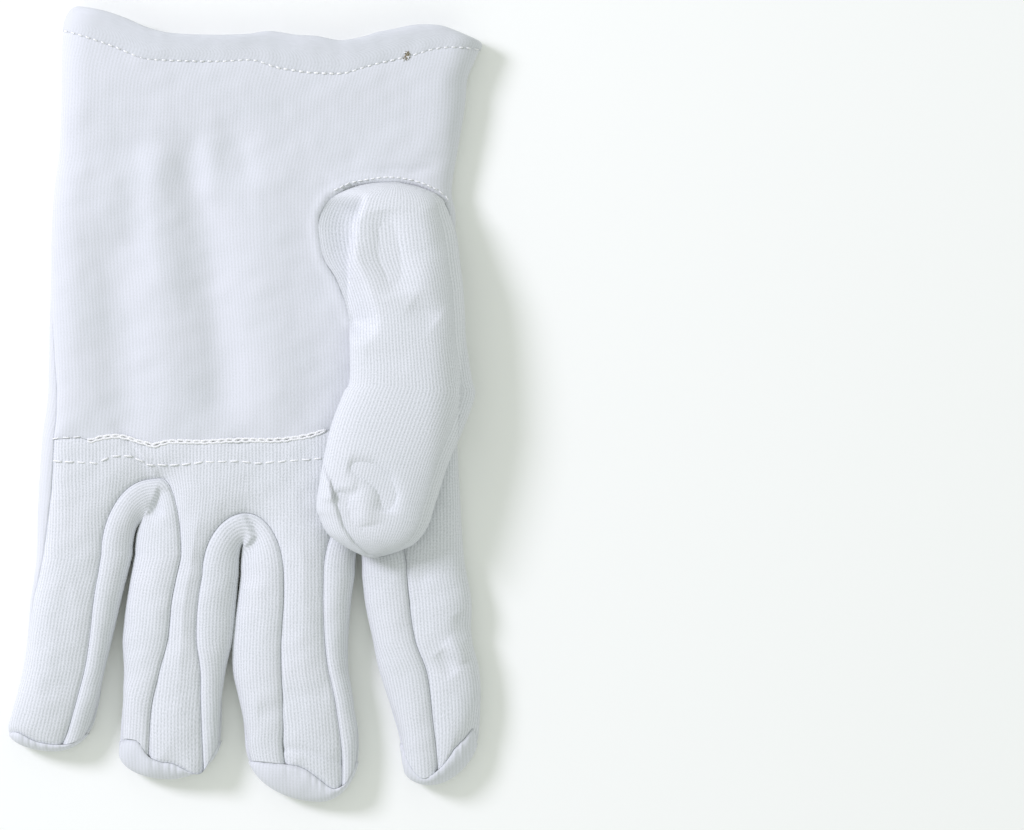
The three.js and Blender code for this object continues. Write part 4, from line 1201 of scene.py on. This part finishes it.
class Thread:
    # round threads in one mesh: tubes along short lines, with closed ends

    def __init__(self, sides=6):
        self.sides = sides
        self.places, self.faces, self.flat = [], [], []

    def add(self, points, radius):
        points = np.asarray(points, float)
        ahead = np.gradient(points, axis=0)
        ahead /= np.maximum(np.linalg.norm(ahead, axis=1, keepdims=True), 1e-9)
        across = np.cross(ahead, np.array([0, 0, 1.0]))
        across /= np.maximum(np.linalg.norm(across, axis=1, keepdims=True), 1e-9)
        above = np.cross(across, ahead)
        along = pathLengths(points)
        start = len(self.places)
        for k, point in enumerate(points):
            for c in range(self.sides):
                a = 2 * math.pi * c / self.sides
                ring = across[k] * math.cos(a) + above[k] * math.sin(a)
                self.places.append(point + ring * radius)
                self.flat.append((along[k], c / self.sides))
        for k in range(1, len(points)):
            for c in range(self.sides):
                a = start + (k - 1) * self.sides + c
                b = start + (k - 1) * self.sides + (c + 1) % self.sides
                self.faces.append([a, b, b + self.sides, a + self.sides])
        last = start + (len(points) - 1) * self.sides
        self.faces.append([start + c for c in range(self.sides)][::-1])
        self.faces.append([last + c for c in range(self.sides)])

    def piece(self, name, wave=None):
        places = np.array(self.places)
        return makeMesh(name, wave(places) if wave else places, self.faces, np.array(self.flat))


# Rows of stitches: their spacing and thread in millimetres
stitching = {
    "hem": {"pitch": 2.15, "length": 1.0, "radius": 0.22, "rise": 0.14, "sink": 0.35},
    "under": {"length": 1.0, "radius": 0.22, "rise": -0.14, "height": 0.3},
    "knuckle": {"pitch": 2.3, "length": 2.8, "width": 1.0, "radius": 0.34, "rise": 0.32,
                "sink": 0.45, "start": -44.5, "end": 20.0},
    "plain": {"pitch": 3.0, "length": 1.9, "radius": 0.18, "rise": 0.16, "start": -55.0,
              "end": -46.0},
    "lower": {"pitch": 3.4, "length": 2.3, "radius": 0.24, "rise": 0.16},
    "thumb": {"pitch": 1.75, "length": 1.1, "radius": 0.21, "rise": 0.15, "outside": 1.1},
}
lowerRow = [(-55.3, -6.5), (-43.8, -7.1), (-38.7, -5.1), (-33.6, -5.1), (-28.5, -7.6),
            (-20.3, -7.6), (-13.0, -6.8), (-3.4, -6.5), (2.0, -7.1), (10.4, -6.5), (19.5, -5.8)]


def surfaceHeight(x, y):
    # height of the glove's upper side with its rounded edges
    left, right = handSide(y)
    near = min(x - left, right - x) / hand["sideRound"]
    near = min(max(near, 0.0), 1.0)
    edge = hand["edgeHeight"]
    return edge + (float(topHeight(x, y)) - edge) * math.sqrt(1 - (1 - near) ** 2)


def pointsAlong(line, pitch, start=0.0):
    # places and directions at even steps along a line
    line = np.asarray(line, float)
    along = pathLengths(line)
    at = np.arange(start, along[-1], pitch)
    places = np.stack([np.interp(at, along, line[:, k]) for k in range(2)], -1)
    ahead = np.stack([np.interp(at + 0.3, along, line[:, k]) for k in range(2)], -1) - places
    return places, ahead / np.maximum(np.linalg.norm(ahead, axis=1, keepdims=True), 1e-9)


def dash(thread, place, ahead, size, height, dice):
    # one stitch that comes up out of the cloth and goes back in
    turn = dice.uniform(-0.12, 0.12)
    way = np.array([ahead[0] - ahead[1] * turn, ahead[1] + ahead[0] * turn])
    length = size["length"] * dice.uniform(0.85, 1.1)
    points = []
    for share in np.linspace(-0.5, 0.5, 7):
        spot = np.array(place) + way * share * length
        lift = size["rise"] * 2.4 * (1 - (2 * share) ** 4) - size["rise"] * 1.2
        points.append((spot[0], spot[1], height(spot[0], spot[1]) + lift))
    thread.add(points, size["radius"])


def sew(thread, stitches, size, height, dice):
    for place, way in stitches:
        dash(thread, place, way, size, height, dice)


def buildHemStitches():
    thread, dice, size = Thread(), random.Random(7), stitching["hem"]
    y = hand["palmLength"] + 0.1
    left, right = palmEdges(y)
    line = [(float(left) + 1.2, y), (float(right) - 1.2, y)]
    stitches = list(zip(*pointsAlong(line, size["pitch"])))
    sew(thread, stitches, size, lambda x, y: surfaceHeight(x, y) - size["sink"], dice)
    under = stitching["under"]
    sew(thread, stitches[2:-2], under, lambda x, y: under["height"], dice)
    return thread.piece("hemStitches", waveCuff)


def buildKnuckleStitches():
    # chain of loops along the knuckle seam, with plain stitches at its little-finger end
    thread, dice, size = Thread(), random.Random(11), stitching["knuckle"]

    def height(x, y):
        return surfaceHeight(x, 0) - size["sink"]

    places, ahead = pointsAlong([(size["start"], 0), (size["end"], 0)], size["pitch"])
    for place in places:
        wide = size["width"] * dice.uniform(0.85, 1.1)
        tilt = dice.uniform(-0.1, 0.1)
        points = []
        for a in np.linspace(0, 2 * math.pi, 15):
            lengthwise = -math.cos(a) * size["length"] / 2
            sidewise = math.sin(a) * wide / 2 * (0.8 + 0.35 * math.cos(a))
            x = place[0] + lengthwise
            y = place[1] + sidewise + tilt * lengthwise
            points.append((x, y, height(x, y) + size["rise"] * (0.65 + 0.5 * math.cos(a))))
        thread.add(points, size["radius"])
    plain = stitching["plain"]
    line = [(plain["start"], 0.3), (plain["end"], 0.3)]
    sew(thread, zip(*pointsAlong(line, plain["pitch"])), plain, height, dice)
    return thread.piece("knuckleStitches", waveKnuckles)


def buildLowerStitches():
    thread, dice, size = Thread(), random.Random(13), stitching["lower"]
    stitches = zip(*pointsAlong(lowerRow, size["pitch"], 0.8))
    sew(thread, stitches, size, lambda x, y: surfaceHeight(x, y) + 0.02, dice)
    return thread.piece("lowerStitches")


def buildThumbStitches():
    # beaded stitches on the ridge just outside the thumb's seam
    thread, dice, size = Thread(), random.Random(17), stitching["thumb"]
    stitches = []
    for place, way in zip(*pointsAlong(thumbSeam[11:], size["pitch"])):
        outside = place + np.array([-way[1], way[0]]) * size["outside"]
        if outside[0] < float(palmEdges(outside[1])[1]) - 1.0:
            stitches.append((outside, way))

    def height(x, y):
        return surfaceHeight(x, y) + float(palmRelief(x, y, 0)) - 0.05

    sew(thread, stitches, size, height, dice)
    return thread.piece("thumbStitches")


# The brown fleck caught in the hem's stitching, and the loose white ends of thread in it
fleck = {
    "x": 44.3, "up": 0.3, "brown": 16, "white": 8, "width": 0.8, "height": 1.25, "whiteSpread": 1.5,
    "radius": 0.1, "whiteRadius": 0.11,
}


def buildFleck():
    brown, white, dice = Thread(5), Thread(5), random.Random(23)
    for k in range(fleck["brown"] + fleck["white"]):
        isBrown = k < fleck["brown"]
        spread = 1.0 if isBrown else fleck["whiteSpread"]
        a = dice.uniform(0, 2 * math.pi)
        far = dice.uniform(0, 1) ** 0.7
        x = fleck["x"] + math.cos(a) * far * fleck["width"] * spread
        y = hand["palmLength"] + fleck["up"] + math.sin(a) * far * fleck["height"] * spread
        heading = dice.uniform(0, math.pi)
        length = dice.uniform(0.6, 1.3)
        bow = dice.uniform(-0.5, 0.5)
        points = []
        for share in np.linspace(-0.5, 0.5, 6):
            px = x + math.cos(heading) * share * length - math.sin(heading) * bow * share ** 2
            py = y + math.sin(heading) * share * length + math.cos(heading) * bow * share ** 2
            lift = 0.08 + 0.3 * (1 - far) + 0.15 * dice.random()
            points.append((px, py, surfaceHeight(px, py) - 0.3 + lift))
        if isBrown:
            brown.add(points, fleck["radius"])
        else:
            white.add(points, fleck["whiteRadius"])
    return brown.piece("brownFleck", waveCuff), white.piece("looseEnds", waveCuff)


print("sewing the stitches")
threadPieces = [
    (buildHemStitches(), "hem_knit"),
    (buildKnuckleStitches(), "cotton_knit"),
    (buildLowerStitches(), "cotton_knit"),
    (buildThumbStitches(), "cotton_knit"),
]
brownFleck, looseEnds = buildFleck()
threadPieces.append((looseEnds, "hem_knit"))


def linkNodes(tree, *links):
    for source, target in links:
        tree.links.new(source, target)


def mathNode(tree, operation, *values):
    node = tree.nodes.new("ShaderNodeMath")
    node.operation = operation
    for socket, value in zip(node.inputs, values):
        if isinstance(value, (int, float)):
            socket.default_value = value
        else:
            tree.links.new(value, socket)
    return node.outputs[0]


def noiseNode(tree, vector, scale, detail):
    node = tree.nodes.new("ShaderNodeTexNoise")
    node.inputs["Scale"].default_value = scale
    node.inputs["Detail"].default_value = detail
    tree.links.new(vector, node.inputs["Vector"])
    return node.outputs["Fac"]


# The knit: scale and detail of its noises, how much each bends the columns, and their heights
weave = {
    "drift": (0.22, 2), "fuzz": (2.4, 4), "cloud": (0.05, 3), "patches": (0.8, 3),
    "sway": 0.5, "slant": 1.3, "slip": 3.0, "unevenness": 1.6, "least": 0.2,
    "columns": 0.22, "stitches": 0.1, "level": 0.45,
}


def makeKnitWeave():
    # knitted columns with their rows of stitches, in the flat cloth's millimetres
    group = bpy.data.node_groups.new("knitWeave", "ShaderNodeTree")
    face = group.interface
    face.new_socket("Flat", in_out="INPUT", socket_type="NodeSocketVector")
    for name, value in (("Wale", 1.0), ("Course", 0.85), ("Fuzz", 0.5)):
        face.new_socket(name, in_out="INPUT", socket_type="NodeSocketFloat").default_value = value
    for name in ("Height", "Mottle"):
        face.new_socket(name, in_out="OUTPUT", socket_type="NodeSocketFloat")
    given = group.nodes.new("NodeGroupInput").outputs
    result = group.nodes.new("NodeGroupOutput").inputs
    drift, fuzz, cloud, patches = [
        noiseNode(group, given["Flat"], *weave[name])
        for name in ("drift", "fuzz", "cloud", "patches")]
    parts = group.nodes.new("ShaderNodeSeparateXYZ")
    group.links.new(given["Flat"], parts.inputs[0])
    sway = mathNode(group, "MULTIPLY_ADD", drift, weave["sway"], parts.outputs[0])
    share = mathNode(group, "FRACT", mathNode(group, "DIVIDE", sway, given["Wale"]))
    middle = mathNode(group, "ABSOLUTE", mathNode(group, "SUBTRACT", share, 0.5))
    ridge = mathNode(group, "COSINE", mathNode(group, "MULTIPLY", middle, 2 * math.pi))
    row = mathNode(group, "DIVIDE", parts.outputs[1], given["Course"])
    slant = mathNode(group, "MULTIPLY_ADD", middle, weave["slant"], row)
    slant = mathNode(group, "MULTIPLY_ADD", drift, weave["slip"], slant)
    stitch = mathNode(group, "SINE", mathNode(group, "MULTIPLY", slant, 2 * math.pi))
    uneven = mathNode(group, "MULTIPLY_ADD", patches, weave["unevenness"], weave["least"])
    knit = mathNode(group, "MULTIPLY_ADD", mathNode(group, "MULTIPLY", ridge, uneven),
                    weave["columns"], weave["level"])
    knit = mathNode(group, "MULTIPLY_ADD", mathNode(group, "MULTIPLY", stitch, uneven),
                    weave["stitches"], knit)
    loose = mathNode(group, "MULTIPLY", mathNode(group, "SUBTRACT", fuzz, 0.5), given["Fuzz"])
    linkNodes(group, (mathNode(group, "ADD", knit, loose), result["Height"]),
              (cloud, result["Mottle"]))
    return group


knitWeave = makeKnitWeave()

# Finishes: colours as linear values, the valley colour is painted shade in the hollows between the
# knitted columns
finishes = {
    "palmKnit": {"wale": 0.98, "course": 0.85, "fuzz": 1.1, "ridge": (0.74, 0.75, 0.785),
                 "shadedValley": (0.66, 0.675, 0.685), "depth": 0.08},
    "fingerKnit": {"wale": 0.98, "course": 0.88, "fuzz": 1.1, "ridge": (0.81, 0.82, 0.845),
                   "shadedValley": (0.60, 0.62, 0.625), "depth": 0.2},
    "hemKnit": {"wale": 0.98, "course": 0.85, "fuzz": 1.1, "ridge": (0.71, 0.725, 0.75),
                "shadedValley": (0.63, 0.645, 0.655), "depth": 0.08},
}


def newMaterial(name, values):
    material = bpy.data.materials.new(name)
    material.use_nodes = True
    shader = material.node_tree.nodes["Principled BSDF"]
    for socket, value in values.items():
        shader.inputs[socket].default_value = value
    return material, material.node_tree, shader


def flatPlaces(tree):
    node = tree.nodes.new("ShaderNodeUVMap")
    node.uv_map = "flatCloth"
    return node.outputs[0]


def heightColours(tree, height, low, high):
    # colour between two stops, each a height and its colour
    node = tree.nodes.new("ShaderNodeValToRGB")
    for element, (place, colour) in zip(node.color_ramp.elements, (low, high)):
        element.position = place
        element.color = (*colour, 1)
    tree.links.new(height, node.inputs[0])
    return node.outputs[0]


def addBump(tree, shader, height, strength, distance):
    node = tree.nodes.new("ShaderNodeBump")
    node.inputs["Strength"].default_value = strength
    node.inputs["Distance"].default_value = distance
    linkNodes(tree, (height, node.inputs["Height"]), (node.outputs[0], shader.inputs["Normal"]))


def knitMaterial(name):
    finish = finishes[name]
    material, tree, shader = newMaterial(name, {
        "Roughness": 0.92, "Specular IOR Level": 0.12, "Sheen Weight": 0.12, "Sheen Roughness": 0.6})
    knit = tree.nodes.new("ShaderNodeGroup")
    knit.node_tree = knitWeave
    for socket in ("Wale", "Course", "Fuzz"):
        knit.inputs[socket].default_value = finish[socket.lower()]
    height = knit.outputs["Height"]
    mottle = tree.nodes.new("ShaderNodeMix")
    mottle.data_type = "RGBA"
    mottle.blend_type = "MULTIPLY"
    mottle.inputs["B"].default_value = (0.93, 0.95, 0.94, 1)
    # lower places of the knit take the valley colour as painted shade, higher ones the cloth's ridge
    # colour
    colours = heightColours(tree, height, (0.08, finish["shadedValley"]), (0.72, finish["ridge"]))
    linkNodes(
        tree, (flatPlaces(tree), knit.inputs["Flat"]),
        (knit.outputs["Mottle"], mottle.inputs["Factor"]), (colours, mottle.inputs["A"]),
        (mottle.outputs["Result"], shader.inputs["Base Color"]))
    addBump(tree, shader, height, 0.5, finish["depth"] / 1000)
    return material


knits = {name: knitMaterial(name) for name in finishes}
for piece, node, slotName in pieces:
    finish = {"palm": "palmKnit", "back": "palmKnit", "cuff_hem": "hemKnit"}.get(node, "fingerKnit")
    piece.data.materials.append(knits[finish])
    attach(piece, "root")
    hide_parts(node)


def threadMaterial(name, colour, grooveShade, roughness):
    # twisted strands: stripes that run slanting round the thread, with painted shade in the grooves
    # between the strands
    material, tree, shader = newMaterial(name, {
        "Roughness": roughness, "Specular IOR Level": 0.2, "Sheen Weight": 0.1})
    parts = tree.nodes.new("ShaderNodeSeparateXYZ")
    tree.links.new(flatPlaces(tree), parts.inputs[0])
    slant = mathNode(tree, "MULTIPLY_ADD", parts.outputs[0], 2.2, parts.outputs[1])
    stripe = mathNode(tree, "SINE", mathNode(tree, "MULTIPLY", slant, 2 * math.pi))
    height = mathNode(tree, "MULTIPLY_ADD", stripe, 0.5, 0.5)
    # the low side of each stripe takes the second colour, which is painted shade of the groove
    tree.links.new(heightColours(tree, height, (0, grooveShade), (1, colour)), shader.inputs["Base Color"])
    addBump(tree, shader, height, 0.6, 0.0001)
    return material


# each thread's second colour is the painted shade in the grooves of its twist
cottonThread = threadMaterial("cottonThread", (0.98, 0.98, 0.97), (0.86, 0.87, 0.86), 0.7)
brownFibre = threadMaterial("brownFibre", (0.40, 0.34, 0.22), (0.22, 0.18, 0.10), 0.85)
for piece, slotName in threadPieces:
    piece.data.materials.append(cottonThread)
    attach(piece, "root")
brownFleck.data.materials.append(brownFibre)
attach(brownFleck, "root")

print("setting the floor, the lights and the camera")
studio = {
    "floorSize": 2, "floorHeight": -0.0003, "floorColour": (0.95, 0.96, 0.91, 1),
    "skyColour": (0.96, 1.0, 0.98, 1), "skyStrength": 0.72,
    "keyPlace": (-0.9, 0.5, 0.8), "keyAim": (0.05, 0, 0), "keySize": 0.4, "keyPower": 11.5,
    "keyColour": (0.85, 0.82, 1.0),
}
wide, low = studio["floorSize"], studio["floorHeight"]
floorMesh = bpy.data.meshes.new("paleFloor")
floorMesh.from_pydata(
    [(-wide, -wide, low), (wide, -wide, low), (wide, wide, low), (-wide, wide, low)], [],
    [(0, 1, 2, 3)])
paleFloor = bpy.data.objects.new("paleFloor", floorMesh)
bpy.context.scene.collection.objects.link(paleFloor)
paper = {"Base Color": studio["floorColour"], "Roughness": 0.9}
paleFloor.data.materials.append(newMaterial("palePaper", paper)[0])

world = bpy.data.worlds.new("studio")
world.use_nodes = True
sky = world.node_tree.nodes["Background"]
sky.inputs["Color"].default_value = studio["skyColour"]
sky.inputs["Strength"].default_value = studio["skyStrength"]
bpy.context.scene.world = world
bpy.context.scene.view_settings.view_transform = "Standard"


keyData = bpy.data.lights.new("keyLight", "AREA")
keyData.shape = "DISK"
keyData.size = studio["keySize"]
keyData.energy = studio["keyPower"]
keyData.color = studio["keyColour"]
keyLight = bpy.data.objects.new("keyLight", keyData)
keyLight.location = studio["keyPlace"]
toAim = Vector(studio["keyAim"]) - Vector(studio["keyPlace"])
keyLight.rotation_euler = toAim.to_track_quat("-Z", "Y").to_euler()
bpy.context.scene.collection.objects.link(keyLight)

# The camera looks straight down; its middle is in millimetres from the knuckle seam
view = {"centreX": 73.96, "centreY": 6.49, "width": 0.2891, "distance": 1.4, "lift": 0.01,
        "sensor": 36}
cameraData = bpy.data.cameras.new("camera")
cameraData.sensor_width = view["sensor"]
cameraData.lens = view["sensor"] * view["distance"] / view["width"]
camera = bpy.data.objects.new("camera", cameraData)
camera.location = (
    (view["centreX"] + shift[0]) / 1000, (view["centreY"] + shift[1]) / 1000,
    view["distance"] + view["lift"])
bpy.context.scene.collection.objects.link(camera)
bpy.context.scene.camera = camera
